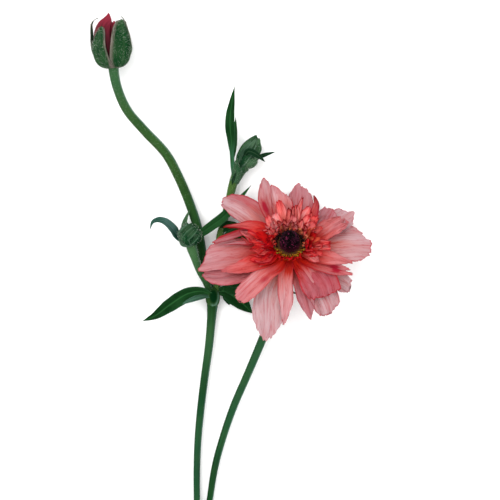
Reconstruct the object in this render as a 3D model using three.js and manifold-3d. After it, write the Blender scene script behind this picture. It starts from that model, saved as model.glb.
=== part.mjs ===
// A cut, branching ranunculus stem laid flat on a surface, with one open bloom that faces up, one half-open
// bud, two small green buds and their leaves. Millimetres. +Z is up from the surface, +Y runs up the stem
// to the top bud, and +X is to the right seen from above. The origin is on the surface, under the middle of
// the whole flower.
import * as THREE from "three";
import { mergeVertices } from "three/addons/utils/BufferGeometryUtils.js";
import Module from "manifold-3d";

const wasm = await Module();
wasm.setup();

// Driving dimensions
const CLEARANCE = 0.35; // gap between two pieces that touch on the real flower
const BLADE = 0.7; // thickness of a petal or leaf
const STEM_SIDES = 8;
const BLOOM_CENTRE = new THREE.Vector3(25.5, 25.5, 23.4); // where the petals meet the receptacle
const BLOOM_TILT = 26; // degrees that the bloom leans from straight up towards +Y
const CORE_RADIUS = 4.3; // the column that petals and stamens grow from
const CORE_TOP = 4.4;
const HEAD_RADIUS = 4.7; // the dark head of carpels
const HEAD_HEIGHT = 8.4;
const BUD_BASE = new THREE.Vector3(-51.1, 103.9, 8.3);
const BUD_TIP = new THREE.Vector3(-52.9, 129.4, 9);
const MIDDLE = 0.47; // of the whole flower from side to side, before it is centred

const COLOURS = {
  stem: [0x35602b, 0.6],
  leaf: [0x14501c, 0.5],
  sepal: [0x3f6b3f, 0.8],
  outerPetal: [0xd9969a, 0.7],
  middlePetal: [0xd4625f, 0.7],
  innerPetal: [0xb5202a, 0.65],
  stamen: [0x8a7420, 0.7],
  carpel: [0x1d0a14, 0.45],
  budPetal: [0x8c2f48, 0.6],
};

const radians = THREE.MathUtils.degToRad;
const lerp = THREE.MathUtils.lerp;
const clamp = THREE.MathUtils.clamp;
const UP = new THREE.Vector3(0, 0, 1);

// A repeatable random number from 0 to 1 for a seed.
function chance(seed) {
  const x = Math.sin(seed * 127.1 + 11.7) * 43758.5453;
  return x - Math.floor(x);
}

const between = (low, high, seed) => lerp(low, high, chance(seed));

// A value read from a list by straight lines, at a share of the way along it.
function valueAt(values, share) {
  const place = clamp(share, 0, 1) * (values.length - 1);
  const from = Math.min(Math.floor(place), values.length - 2);
  return lerp(values[from], values[from + 1], place - from);
}

// Solids
function toSolid(geometry) {
  const bare = geometry.clone();
  bare.deleteAttribute("normal");
  bare.deleteAttribute("uv");
  const merged = mergeVertices(bare, 1e-4);
  return new wasm.Manifold(
    new wasm.Mesh({
      numProp: 3,
      vertProperties: new Float32Array(merged.attributes.position.array),
      triVerts: new Uint32Array(merged.index.array),
    }),
  );
}

// A solid whose faces point out, whichever way round its geometry was listed.
function toSolidFacingOut(geometry) {
  const solid = toSolid(geometry);
  if (solid.volume() > 0) return solid;
  const turned = Array.from(geometry.index.array);
  for (let i = 0; i < turned.length; i += 3) {
    [turned[i + 1], turned[i + 2]] = [turned[i + 2], turned[i + 1]];
  }
  return toSolid(geometry.clone().setIndex(turned));
}

function indexedGeometry(positions, index) {
  return new THREE.BufferGeometry()
    .setAttribute("position", new THREE.Float32BufferAttribute(positions, 3))
    .setIndex(index);
}

function toGeometry(solid) {
  const mesh = solid.getMesh();
  const positions = [];
  for (let i = 0; i < mesh.numVert; i++) {
    const start = i * mesh.numProp;
    positions.push(...mesh.vertProperties.subarray(start, start + 3));
  }
  return indexedGeometry(positions, Array.from(mesh.triVerts));
}

const join = (solids) => solids.reduce((whole, piece) => whole.add(piece));

// The largest body of a solid, without the loose scraps that a cut can leave.
function largestBody(solid) {
  return solid.decompose().reduce((a, b) => (a.volume() > b.volume() ? a : b));
}

// A closed solid between two alike grids of points, both split along the same diagonals.
function closeGrids(over, under) {
  const rows = over.length;
  const columns = over[0].length;
  const positions = [...over.flat(), ...under.flat()].flatMap((p) => [p.x, p.y, p.z]);
  const top = (i, j) => i * columns + j;
  const bottom = (i, j) => rows * columns + top(i, j);
  const index = [];
  const wall = (a, b, c, d) => index.push(a, b, c, a, c, d);
  for (let i = 0; i < rows - 1; i++) {
    for (let j = 0; j < columns - 1; j++) {
      index.push(top(i, j), top(i + 1, j), top(i + 1, j + 1));
      index.push(top(i, j), top(i + 1, j + 1), top(i, j + 1));
      index.push(bottom(i, j), bottom(i + 1, j + 1), bottom(i + 1, j));
      index.push(bottom(i, j), bottom(i, j + 1), bottom(i + 1, j + 1));
    }
    const last = columns - 1;
    wall(top(i, 0), bottom(i, 0), bottom(i + 1, 0), top(i + 1, 0));
    wall(top(i + 1, last), bottom(i + 1, last), bottom(i, last), top(i, last));
  }
  for (let j = 0; j < columns - 1; j++) {
    const last = rows - 1;
    wall(top(0, j + 1), bottom(0, j + 1), bottom(0, j), top(0, j));
    wall(top(last, j), bottom(last, j), bottom(last, j + 1), top(last, j + 1));
  }
  return toSolidFacingOut(indexedGeometry(positions, index));
}

// A closed solid from rings of equally many points, one after the other.
function closeRings(rings) {
  const sides = rings[0].length;
  const positions = rings.flat().flatMap((p) => [p.x, p.y, p.z]);
  const index = [];
  for (let i = 0; i < rings.length - 1; i++) {
    for (let k = 0; k < sides; k++) {
      const next = (k + 1) % sides;
      const [a, b] = [i * sides + k, i * sides + next];
      index.push(a, b, b + sides, a, b + sides, a + sides);
    }
  }
  const last = (rings.length - 1) * sides;
  for (let k = 1; k < sides - 1; k++) {
    index.push(0, k + 1, k);
    index.push(last, last + k, last + k + 1);
  }
  return toSolidFacingOut(indexedGeometry(positions, index));
}

function curveThrough(places) {
  const points = places.map(([x, y, z]) => new THREE.Vector3(x, y, z));
  return new THREE.CatmullRomCurve3(points, false, "centripetal");
}

// A tapering tube along a curve through stations, each [x, y, z, radius].
function tube(stations, step, sides, grow = 0) {
  const curve = curveThrough(stations);
  const radii = stations.map((station) => station[3]);
  const count = Math.max(2, Math.round(curve.getLength() / step));
  const frames = curve.computeFrenetFrames(count, false);
  const rings = Array.from({ length: count + 1 }, (_, i) => {
    const centre = curve.getPointAt(i / count);
    const radius = valueAt(radii, curve.getUtoTmapping(i / count)) + grow;
    return Array.from({ length: sides }, (_, k) => {
      const turn = (2 * Math.PI * k) / sides;
      return centre.clone()
        .addScaledVector(frames.normals[i], Math.cos(turn) * radius)
        .addScaledVector(frames.binormals[i], Math.sin(turn) * radius);
    });
  });
  return closeRings(rings);
}

// The bloom's own frame
const tilt = radians(BLOOM_TILT);
const BLOOM_AXIS = new THREE.Vector3(0, Math.sin(tilt), Math.cos(tilt));
const BLOOM_RIGHT = new THREE.Vector3(1, 0, 0);
const BLOOM_UP = new THREE.Vector3(0, Math.cos(tilt), -Math.sin(tilt));
const BLOOM_PLACE = new THREE.Matrix4().makeBasis(BLOOM_RIGHT, BLOOM_UP, BLOOM_AXIS).setPosition(BLOOM_CENTRE);

// A point of the bloom: right and up in its plane, and out along its axis.
const inBloom = (x, y, out) => new THREE.Vector3(x, y, out).applyMatrix4(BLOOM_PLACE);

// A solid turned about the bloom's axis, from a profile of [radius, height] points.
function turnedInBloom(profile, segments, grow = 0) {
  const points = profile.map(([radius, height]) => new THREE.Vector2(radius && radius + grow, height));
  const lathe = new THREE.LatheGeometry(points, segments).rotateX(Math.PI / 2).applyMatrix4(BLOOM_PLACE);
  return toSolidFacingOut(lathe);
}

// A flat ring round the core, which joins the roots of one layer of petals.
function rootRing(low, high, outer, segments = 20) {
  const inner = CORE_RADIUS + CLEARANCE;
  return turnedInBloom([[inner, low], [outer, low], [outer, high], [inner, high], [inner, low]], segments);
}

// Petals
// A petal leaves the core at an azimuth, bends sideways by side degrees, and climbs from lift to liftEnd
// degrees over the bloom's plane.
const PETAL = {
  root: 5.2,
  rise: 0,
  lift: -10,
  liftEnd: -25,
  side: 0,
  half: 7,
  claw: 0.3,
  widest: 0.8,
  drop: 0.35,
  power: 2,
  teeth: 0.03,
  cup: 0.9,
  ruffle: 0.5,
  waves: 2,
};
const LINE_STEPS = 20;
const AIM_STEPS = 30;

// The point and the direction of a petal's centre line at a share of its length.
function petalLine(petal, azimuth, length, share) {
  const stride = (length * share) / LINE_STEPS;
  let [x, y, out] = [petal.root * Math.cos(azimuth), petal.root * Math.sin(azimuth), petal.rise];
  let [heading, lift] = [azimuth, radians(petal.lift)];
  for (let i = 0; i < LINE_STEPS; i++) {
    const s = (share * (i + 0.5)) / LINE_STEPS;
    heading = azimuth + radians(petal.side) * s;
    lift = radians(lerp(petal.lift, petal.liftEnd, s ** 1.3));
    x += Math.cos(lift) * Math.cos(heading) * stride;
    y += Math.cos(lift) * Math.sin(heading) * stride;
    out += Math.sin(lift) * stride;
  }
  return { x, y, out, heading, lift };
}

// The azimuth and length that bring a petal's tip to its reach: [right, up] of the bloom's centre, from above.
function aimPetal(petal) {
  if (!petal.reach) return [radians(petal.azimuth), petal.length];
  const [reachX, reachY] = petal.reach;
  let azimuth = Math.atan2(reachY, reachX);
  let length = Math.hypot(reachX, reachY);
  for (let i = 0; i < AIM_STEPS; i++) {
    const tip = petalLine(petal, azimuth, length, 1);
    const seenY = tip.y * Math.cos(tilt) + tip.out * Math.sin(tilt);
    const turn = Math.atan2(reachY, reachX) - Math.atan2(seenY, tip.x);
    azimuth += Math.atan2(Math.sin(turn), Math.cos(turn));
    length *= Math.hypot(reachX, reachY) / Math.hypot(tip.x, seenY);
  }
  return [azimuth, length];
}

// Half the width at a share of the length: a narrow claw, the widest place, then a little less.
function petalWidth(petal, s) {
  const opening = Math.sin((Math.min(1, s / petal.widest) * Math.PI) / 2) ** 1.2;
  const closing = Math.max(0, (s - petal.widest) / (1 - petal.widest));
  return petal.half * (petal.claw + (1 - petal.claw) * opening) * (1 - 0.25 * closing ** 2);
}

// How far out the rim lies for a place across the petal, from -1 to 1, with its teeth.
function petalEnd(petal, t) {
  const tooth = between(-1, 1, petal.seed * 7.3 + Math.round(t * 6) * 1.7);
  return 1 - petal.drop * Math.abs(t) ** petal.power + petal.teeth * tooth * (1 - Math.abs(t) ** 4);
}

function petalSolid(petal, rows, columns) {
  const [azimuth, length] = aimPetal(petal);
  const over = [];
  const under = [];
  for (let i = 0; i <= rows; i++) {
    const s = i / rows;
    const width = petalWidth(petal, s);
    const upper = [];
    const lower = [];
    for (let j = 0; j <= columns; j++) {
      const t = (2 * j) / columns - 1;
      const spot = petalLine(petal, azimuth, length, s * lerp(1, petalEnd(petal, t), s));
      const wave = Math.sin(petal.waves * Math.PI * t + petal.seed * 2.1 + 2.5 * s);
      const bow = petal.cup * t * t * (width / petal.half) + petal.ruffle * wave * s ** 1.5;
      const centre = new THREE.Vector3(spot.x, spot.y, spot.out)
        .addScaledVector(new THREE.Vector3(-Math.sin(spot.heading), Math.cos(spot.heading), 0), width * t);
      const normal = new THREE.Vector3(
        -Math.sin(spot.lift) * Math.cos(spot.heading),
        -Math.sin(spot.lift) * Math.sin(spot.heading),
        Math.cos(spot.lift),
      );
      const at = (offset) => centre.clone().addScaledVector(normal, bow + offset).applyMatrix4(BLOOM_PLACE);
      upper.push(at(BLADE / 2));
      lower.push(at(-BLADE / 2));
    }
    over.push(upper);
    under.push(lower);
  }
  return closeGrids(over, under);
}

// The large pale petals underneath.
const OUTER_PETALS = [
  { reach: [-10.4, -40.4], half: 9, lift: -14, liftEnd: -36, drop: 0.4, cup: 0.4, teeth: 0.05, widest: 0.66 },
  { reach: [14.6, -29.8], half: 8.6, lift: -16, liftEnd: -34, drop: 0.2, power: 2.6, teeth: 0.06 },
  { reach: [25.8, -19.6], half: 8.4, lift: -16, liftEnd: -34, drop: 0.22, power: 2.6 },
  { reach: [36.5, 0.8], half: 9.6, lift: -10, liftEnd: -26, drop: 0.36, power: 2.2 },
  { reach: [27.9, 14.6], half: 7.2, lift: -14, liftEnd: -40, drop: 0.18, teeth: 0.06 },
  { reach: [5.2, 28], half: 6.4, lift: -8, liftEnd: -27, drop: 0.26, power: 2.2, teeth: 0.04 },
  { reach: [-6.6, 28.2], half: 5.2, lift: -6, liftEnd: -22, drop: 0.3, power: 1.6 },
  { reach: [-28.8, 21.6], half: 8.4, lift: -3, liftEnd: -10, drop: 0.24, power: 2.3 },
  { reach: [-39.4, -9.6], half: 9.8, lift: -12, liftEnd: -28, drop: 0.4 },
].map((petal, i) => ({ ...PETAL, rise: -0.6, seed: 10 + i, ...petal }));

// The narrower coral petals over them.
const MIDDLE_PETALS = [
  { reach: [-1.8, -33.4], half: 4, lift: 2, liftEnd: -34, drop: 0.34, power: 1.6 },
  { reach: [-24.2, -23.4], half: 4.1, lift: 4, liftEnd: -26, drop: 0.2, power: 2.6 },
  { reach: [-29.9, -11.6], half: 4.8, lift: 4, liftEnd: -20, drop: 0.4, power: 1.7 },
  { reach: [-33.2, 0.6], half: 2.9, lift: 6, liftEnd: -16, drop: 0.3, cup: 1.6, side: 14 },
  { reach: [-28.6, 8.6], half: 4.2, lift: 14, liftEnd: -16, drop: 0.6, power: 1.2, side: -16 },
  { reach: [-11.8, 30.4], half: 3.8, lift: 6, liftEnd: -14, drop: 0.3, power: 1.8 },
  { reach: [11.4, 22.6], half: 3.2, lift: 18, liftEnd: 6, drop: 0.45, power: 1.4, side: 26 },
  { reach: [25.4, 11.6], half: 4.6, lift: 6, liftEnd: -22, drop: 0.3 },
  { reach: [28.2, -7.6], half: 3.8, lift: 6, liftEnd: -16, drop: 0.45, power: 1.4 },
  { reach: [27.2, -13], half: 4.2, lift: 2, liftEnd: -20, drop: 0.34, power: 1.6, teeth: 0.05 },
  { reach: [19.8, -22.2], half: 7, lift: 0, liftEnd: -26, drop: 0.2, teeth: 0.04 },
].map((petal, i) => ({ ...PETAL, rise: 1.3, claw: 0.5, ruffle: 0.3, cup: 0.7, seed: 40 + i, ...petal }));

// The petaloids that stand in a tier behind the head.
const TIER_PETALOIDS = [
  { reach: [-10.8, 19], half: 3, lift: 14, liftEnd: 2 },
  { reach: [-5, 22], half: 3.2, lift: 15, liftEnd: 8 },
  { reach: [1.2, 24], half: 3.2, lift: 14, liftEnd: 4 },
  { reach: [6.2, 21], half: 2.8, lift: 15, liftEnd: 10 },
].map((petal, i) => ({ ...PETAL, root: 6.7, rise: 3.2, claw: 0.6, drop: 0.25, seed: 80 + i, ...petal }));

// Rings of small petaloids round the head, which grow shorter and steeper inwards.
const PETALOID_RINGS = [
  { count: 15, root: 6.7, rise: 3.2, length: [11, 16], half: [1.5, 2.2], lift: 16, liftEnd: [14, 44] },
  { count: 14, root: 6.5, rise: 3.4, length: [7, 10.5], half: [1.1, 1.6], lift: 38, liftEnd: [44, 90] },
];

function petaloidRing(ring, r) {
  return Array.from({ length: ring.count }, (_, i) => {
    const seed = 100 * (r + 1) + i;
    return {
      ...PETAL,
      azimuth: (360 * (i + 0.5 * r + between(-0.25, 0.25, seed))) / ring.count,
      length: between(...ring.length, seed + 0.1),
      root: ring.root,
      rise: ring.rise,
      half: between(...ring.half, seed + 0.2),
      claw: 0.7,
      lift: ring.lift,
      liftEnd: between(...ring.liftEnd, seed + 0.3),
      side: between(-14, 14, seed + 0.4),
      drop: 0.24,
      power: 1.6,
      cup: 0.5,
      ruffle: 0.2,
      seed,
    };
  });
}

// The bloom's green sepals, bent back under it. The first one is longer and shows between two petals.
const SEPAL_AZIMUTHS = [-98, -26, 46, 118, 190];

function bloomSepals() {
  const sepals = SEPAL_AZIMUTHS.map((azimuth, i) => {
    const showing = i === 0;
    return {
      ...PETAL,
      azimuth,
      length: showing ? 17 : 13,
      root: 5.8,
      rise: -3.2,
      half: 2.8,
      claw: 0.75,
      widest: 0.5,
      lift: -34,
      liftEnd: showing ? -62 : -86,
      drop: 0.5,
      power: 1.4,
      teeth: 0,
      cup: -0.6,
      ruffle: 0.2,
      seed: 700 + i,
    };
  });
  const collar = turnedInBloom([[5.1, -3.7], [6.6, -3.9], [6.9, -3.1], [5.6, -2.8], [5.1, -3.7]], 16);
  return join([collar, ...sepals.map((sepal) => petalSolid(sepal, 4, 2))]);
}

// Three-sided stamens that lean out from a ring on the core, each with a thicker anther.
const STAMENS = 18;

function stamens() {
  const filaments = Array.from({ length: STAMENS }, (_, i) => {
    const turn = (2 * Math.PI * (i + between(-0.2, 0.2, 500 + i))) / STAMENS;
    const length = between(3.4, 5.2, 530 + i);
    const lean = radians(between(60, 76, 560 + i));
    const at = (share) => {
      const reach = 5.1 + Math.cos(lean) * length * share;
      return inBloom(reach * Math.cos(turn), reach * Math.sin(turn), 4.4 + Math.sin(lean) * length * share);
    };
    return tube([[...at(0), 0.4], [...at(0.7), 0.35], [...at(0.8), 0.6], [...at(1), 0.45]], length / 3, 3);
  });
  return join([rootRing(4.1, 4.7, 5.5, STAMENS), ...filaments]);
}

// The head of many small carpels: a dome whose surface rises and falls from one carpel to the next.
const HEAD_ROUND = 24;
const HEAD_ROWS = 9;
const CARPEL_SWELL = 0.045;

function carpelHead() {
  const low = CORE_TOP + CLEARANCE;
  const rings = Array.from({ length: HEAD_ROWS + 1 }, (_, i) => {
    const lift = ((i / (HEAD_ROWS + 0.35)) * Math.PI) / 2;
    return Array.from({ length: HEAD_ROUND }, (_, k) => {
      const turn = (2 * Math.PI * (k + 0.5 * (i % 2))) / HEAD_ROUND;
      const swell = i === 0 ? 0 : CARPEL_SWELL * ((k + i) % 2 ? 1 : -1);
      const radius = HEAD_RADIUS * Math.cos(lift) ** 0.8 * (1 + swell);
      const height = HEAD_HEIGHT * Math.sin(lift) * (1 + swell);
      return inBloom(radius * Math.cos(turn), radius * Math.sin(turn), low + height);
    });
  });
  return closeRings(rings);
}

// The receptacle: a green cup under the petals and the core that carries them.
const RECEPTACLE_PROFILE = [
  [0, -6.6],
  [2.1, -6.4],
  [4.4, -4.4],
  [5.2, -2.6],
  [4.9, -1.7],
  [CORE_RADIUS, -1.5],
  [CORE_RADIUS, CORE_TOP],
  [0, CORE_TOP],
];

// Stems, by stations of [x, y, height, radius]. They part just above the cut end, and the left one branches
// again at its node.
const NODE = [-7.7, 4.2, 3.8];
const NODE_SIZE = [2.9, 4, 2.9];
const STEMS = [
  {
    step: 4,
    stations: [[-13.9, -129.4, 1.85, 2.1], [-14.1, -124, 1.95, 2.05], [-14.2, -119, 2, 1.9]],
  },
  {
    step: 13,
    stations: [
      [-14, -121, 2, 1.6], [-14.5, -103, 2.2, 1.35], [-14.7, -85, 2.4, 1.35], [-14.7, -70, 2.6, 1.4],
      [-14.1, -57, 2.9, 1.5], [-12.8, -43.5, 3.1, 1.6], [-11.2, -30.4, 3.3, 1.65], [-9.4, -17.2, 3.5, 1.75],
      [-8.3, -5.3, 3.7, 1.9], [...NODE, 2.5],
    ],
  },
  {
    step: 9,
    stations: [
      [-14.2, -121, 2, 1.6], [-11.8, -105, 2.3, 1.35], [-9.1, -85, 2.7, 1.35], [-6.7, -70, 3.1, 1.45],
      [-3.1, -56.8, 3.4, 1.5], [1.5, -43.6, 3.8, 1.6], [7.2, -30.4, 4.1, 1.65], [12.8, -17.2, 4.5, 1.75],
      [18.4, -3, 5.4, 1.8], [22.4, 9, 7.6, 1.85], [24.8, 17.6, 11.6, 1.95], [25.5, 21.9, 16, 2.2],
      [25.5, 23, 18.2, 2.6],
    ],
  },
  {
    step: 6,
    stations: [
      [...NODE, 2.1], [-10.5, 13.2, 3.7, 1.9], [-12.5, 24.6, 3.4, 1.9], [-14.5, 35.2, 3.4, 1.95],
      [-18, 45.8, 3.5, 1.95], [-22.4, 56.3, 3.6, 1.95], [-28.1, 66.9, 3.9, 1.95], [-37.8, 77.4, 4.4, 1.95],
      [-45.1, 86, 5.4, 1.95], [-49.3, 94.6, 6.9, 2], [-50.9, 101.2, 8, 2.1], [-51.2, 105.8, 8.4, 2.2],
    ],
  },
  {
    step: 5,
    stations: [
      [-8.6, 6, 4.4, 1.5], [-10.6, 11, 6.6, 1.55], [-13.2, 15.8, 8.2, 1.6], [-15.2, 21, 9.2, 1.7],
      [-16.7, 25.6, 9.8, 2.1], [-17.3, 28.6, 10.2, 2.4],
    ],
  },
  {
    step: 9,
    stations: [
      [-6.4, 5.6, 3.8, 1.6], [-5.3, 15, 3.5, 1.5], [-4.6, 24, 3.3, 1.5], [-4, 31, 3.1, 1.5],
      [-3, 36.6, 3, 1.5], [-1.8, 42, 3, 1.5], [-0.5, 47.1, 3.3, 1.55], [0.7, 52, 3.9, 1.8],
      [2.2, 57, 4.6, 2.5], [3.8, 61.4, 5.1, 3.1],
    ],
  },
];

function floweringStem(grow = 0) {
  const size = NODE_SIZE.map((half) => half + grow);
  const node = new THREE.SphereGeometry(1, 10, 7).scale(...size).translate(...NODE);
  return join([
    ...STEMS.map(({ stations, step }) => tube(stations, step, STEM_SIDES, grow)),
    toSolid(node),
    turnedInBloom(RECEPTACLE_PROFILE, 16, grow),
  ]);
}

// Leaves
// A blade runs along a curve through its points, folded up along its midrib and turned about it from roll to
// rollEnd degrees. Each leaf is a list of blades: the leaf itself and its lobes.
const LEAF = { half: 3, fold: 0.25, roll: 0, rollEnd: 0, stalk: 0, shape: 0.8, neck: 0.8, wave: 0.3, rows: 8 };
const LEAVES = {
  leaf_lower_left: [
    {
      half: 3.3, roll: -35, rollEnd: 8, fold: 0.35, neck: 1.2,
      route: [
        [-8.2, 5.4, 5.6], [-12.6, 7, 8], [-18.6, 5.9, 8.4], [-26.4, 1, 6.6], [-33, -3.9, 4.6],
        [-38.5, -6.3, 3.4],
      ],
    },
  ],
  leaf_lower_right: [
    {
      half: 4, fold: 0.2, neck: 1.2, rows: 7,
      route: [[-7, 5.8, 4], [-2.6, 6.8, 4.6], [2.6, 3.8, 4.4], [9.8, -2.8, 3.4]],
    },
    { half: 3, fold: 0.1, rows: 5, route: [[-3.5, 6.6, 4.5], [1.6, 8.4, 4.8], [9.2, 8.6, 3.8]] },
    { half: 1.7, fold: 0.1, rows: 3, route: [[-3.5, 6.4, 4.5], [-1.8, 3.8, 4.2], [-0.8, 1.4, 3.6]] },
  ],
  leaf_behind_bloom: [
    {
      half: 3.6, fold: 0.2, neck: 1, rows: 7,
      route: [[-4.4, 24.6, 3.6], [-1.6, 28.2, 5.4], [2.6, 31, 6], [8.4, 32.4, 5.8], [13.4, 32.6, 5]],
    },
  ],
  leaf_long: [
    {
      half: 2.5, fold: 0.3, neck: 1.5, shape: 0.7, rows: 9,
      route: [
        [-15.8, 25, 8.8], [-12.4, 30, 7.4], [-8.2, 34.8, 7.2], [-3.4, 39, 7.3], [2.6, 45.8, 6.4],
        [9, 53.1, 4.6],
      ],
    },
  ],
  leaf_curled: [
    {
      half: 1.9, fold: 0.4, roll: 20, rollEnd: 40, neck: 1.2, rows: 9,
      route: [
        [-18.8, 25.8, 8.4], [-22.6, 29.8, 7.4], [-25.6, 34.6, 9.4], [-29.4, 37.6, 10.8], [-33.2, 37.2, 10],
        [-35, 34, 8.4],
      ],
    },
  ],
  leaf_short: [
    {
      half: 1.7, fold: 0.6, roll: -20, rollEnd: -20, neck: 1, rows: 6,
      route: [[-17, 25.2, 7.2], [-19, 30, 4.9], [-19.8, 36, 5.1], [-17.8, 42.4, 6.4]],
    },
  ],
  leaf_tall: [
    {
      half: 2.1, fold: 0.35, stalk: 0.14, rows: 9,
      route: [
        [0.6, 57.4, 6], [0.6, 64.8, 7], [0.5, 72, 7.2], [-0.2, 81, 7], [0.5, 87.4, 6.2], [1.8, 94.2, 5.2],
      ],
    },
    {
      half: 1.2, fold: 0.2, roll: 20, rollEnd: 20, rows: 5,
      route: [[1, 68, 6.9], [2.8, 72, 5.8], [3.2, 78, 5.4], [3, 84, 5.4]],
    },
  ],
};
const BUD_LEAFLETS = [
  {
    half: 1.2, roll: 15, rollEnd: 10, neck: 0.6, rows: 6,
    route: [[5.4, 66.6, 9.3], [8.6, 66.7, 10.6], [12, 64.6, 10.4], [15, 62.1, 9]],
  },
  { half: 0.95, fold: 0.4, neck: 0.6, rows: 5, route: [[9.8, 64, 4.6], [13.6, 66, 4.6], [19.8, 67.9, 5]] },
];

function leafBlade(settings) {
  const leaf = { ...LEAF, ...settings };
  const curve = curveThrough(leaf.route);
  const over = [];
  const under = [];
  for (let i = 0; i <= leaf.rows; i++) {
    const s = i / leaf.rows;
    const centre = curve.getPointAt(s);
    const along = curve.getTangentAt(s);
    const across = new THREE.Vector3().crossVectors(UP, along).normalize();
    across.applyAxisAngle(along, radians(lerp(leaf.roll, leaf.rollEnd, s)));
    const normal = new THREE.Vector3().crossVectors(along, across);
    const opening = Math.sin(Math.PI * clamp((s - leaf.stalk) / (1 - leaf.stalk), 0, 1) ** leaf.shape) ** 0.9;
    const width = Math.max(leaf.half * opening, s < 0.5 ? leaf.neck : 0.25);
    const upper = [];
    const lower = [];
    for (const t of [-1, 0, 1]) {
      const rise = leaf.fold * Math.abs(t) * width + leaf.wave * t * t * Math.sin(5 * s + 2 * t);
      const point = centre.clone().addScaledVector(across, width * t).addScaledVector(normal, rise);
      upper.push(point.clone().addScaledVector(normal, BLADE / 2));
      lower.push(point.addScaledVector(normal, -BLADE / 2));
    }
    over.push(upper);
    under.push(lower);
  }
  return closeGrids(over, under);
}

// Buds
// A bud's frame: its base, its axis, and the side that faces up.
function budFrame(origin, direction) {
  const axis = direction.clone().normalize();
  const front = UP.clone().addScaledVector(axis, -UP.dot(axis)).normalize();
  const side = new THREE.Vector3().crossVectors(axis, front);
  return new THREE.Matrix4().makeBasis(front, side, axis).setPosition(origin);
}

// A sepal, petal or bract that wraps a bud, with its radius and its spread in degrees listed along its length.
function wrappedBlade(frame, piece, rows, columns) {
  const around = (angle, radius, height) =>
    new THREE.Vector3(Math.cos(angle) * radius, Math.sin(angle) * radius, height).applyMatrix4(frame);
  const over = [];
  const under = [];
  for (let i = 0; i <= rows; i++) {
    const s = i / rows;
    const upper = [];
    const lower = [];
    for (let j = 0; j <= columns; j++) {
      const t = (2 * j) / columns - 1;
      const angle = radians(piece.angle + piece.lean * s + valueAt(piece.spread, s) * t);
      const radius = valueAt(piece.radius, s) + piece.overlap * t;
      const height = lerp(piece.base, piece.length, s) - piece.drop * t * t * s ** 3;
      upper.push(around(angle, radius + BLADE, height));
      lower.push(around(angle, radius, height));
    }
    over.push(upper);
    under.push(lower);
  }
  return closeGrids(over, under);
}

// A closed lump round a bud's axis, with its radii listed along its length.
function lump(frame, radii, length, sides, flatness = 1) {
  const points = radii.map((radius, i) => new THREE.Vector2(radius, (length * i) / (radii.length - 1)));
  const lathe = new THREE.LatheGeometry(points, sides).rotateX(Math.PI / 2).scale(flatness, 1, 1);
  return toSolidFacingOut(lathe.applyMatrix4(frame));
}

// The top bud: five sepals round crimson petals that show between them.
const OPEN_SEPAL = [1.9, 6.7, 7.9, 8.3, 7.9, 7.2, 6.9];
const HOOKED_SEPAL = [1.9, 6.7, 7.9, 8.3, 8.1, 7.7, 5.8];
const SEPAL = { base: 0.4, overlap: 0.3, drop: 1.5, lean: 0, spread: [44, 41, 38, 34, 28, 20, 10] };
const BUD_SEPALS = [
  { angle: 38, length: 19, radius: OPEN_SEPAL },
  { angle: -34, length: 21.4, radius: OPEN_SEPAL },
  { angle: -106, length: 23, radius: HOOKED_SEPAL },
  { angle: 180, length: 20, radius: OPEN_SEPAL },
  { angle: 108, length: 23.4, radius: HOOKED_SEPAL },
].map((sepal) => ({ ...SEPAL, ...sepal }));
const BUD_PETAL = { base: 3.4, overlap: 0.25, drop: 2.4, lean: -14 };
const BUD_PETALS = [
  { angle: 62, length: 25.8, radius: [3.6, 5.6, 6, 5.6, 4, 1.4], spread: [60, 62, 60, 54, 46, 30] },
  { angle: -46, length: 22.6, radius: [3.6, 5.5, 5.9, 5.4, 4, 2], spread: [60, 62, 60, 54, 44, 26] },
  { angle: 178, length: 23.4, radius: [3.6, 5.5, 5.9, 5.4, 3.8, 1.8], spread: [60, 62, 60, 54, 44, 28] },
].map((petal) => ({ ...BUD_PETAL, ...petal }));
const topBudFrame = budFrame(BUD_BASE, BUD_TIP.clone().sub(BUD_BASE));

const topBudSepals = () => join(BUD_SEPALS.map((sepal) => wrappedBlade(topBudFrame, sepal, 6, 3)));

function topBudPetals() {
  const core = lump(topBudFrame, [0, 0, 4.4, 5.6, 5.9, 5.4, 3.8, 1.8, 0], 22.6, 10);
  return join([core, ...BUD_PETALS.map((petal) => wrappedBlade(topBudFrame, petal, 5, 3))]);
}

// A small green bud: a round core wrapped in bracts.
const BRACTS = 3;

function greenBud(frame, length, radius) {
  const core = lump(frame, [0, 0.62, 0.92, 1, 0.9, 0.62, 0].map((r) => r * radius), length, 10);
  const bracts = Array.from({ length: BRACTS }, (_, i) => ({
    angle: (360 * i) / BRACTS + 15,
    base: length * 0.08,
    length: length * (1.02 - 0.06 * i),
    lean: 10,
    overlap: 0.25,
    drop: 1.2,
    radius: [0.5, 0.8, 0.9, 0.86, 0.66, 0.3].map((r) => r * radius),
    spread: [70, 66, 60, 52, 40, 16],
  }));
  return join([core, ...bracts.map((bract) => wrappedBlade(frame, bract, 4, 2))]);
}

function leftSmallBud() {
  return greenBud(budFrame(new THREE.Vector3(-17.6, 27.4, 10), new THREE.Vector3(0.04, 0.92, 0.36)), 9.4, 4.3);
}

// The right small bud has a folded hood over it and two leaflets.
function rightSmallBud() {
  const inner = budFrame(new THREE.Vector3(4.2, 60, 5.4), new THREE.Vector3(0.58, 0.78, 0.12));
  const hood = budFrame(new THREE.Vector3(3.9, 61, 6), new THREE.Vector3(0.56, 0.86, 0.05));
  return join([
    greenBud(inner, 10.4, 4.1),
    lump(hood, [0, 2.6, 3.7, 3.8, 3.3, 2.5, 1.8, 0], 16, 10, 0.75),
    ...BUD_LEAFLETS.map(leafBlade),
  ]);
}

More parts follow.
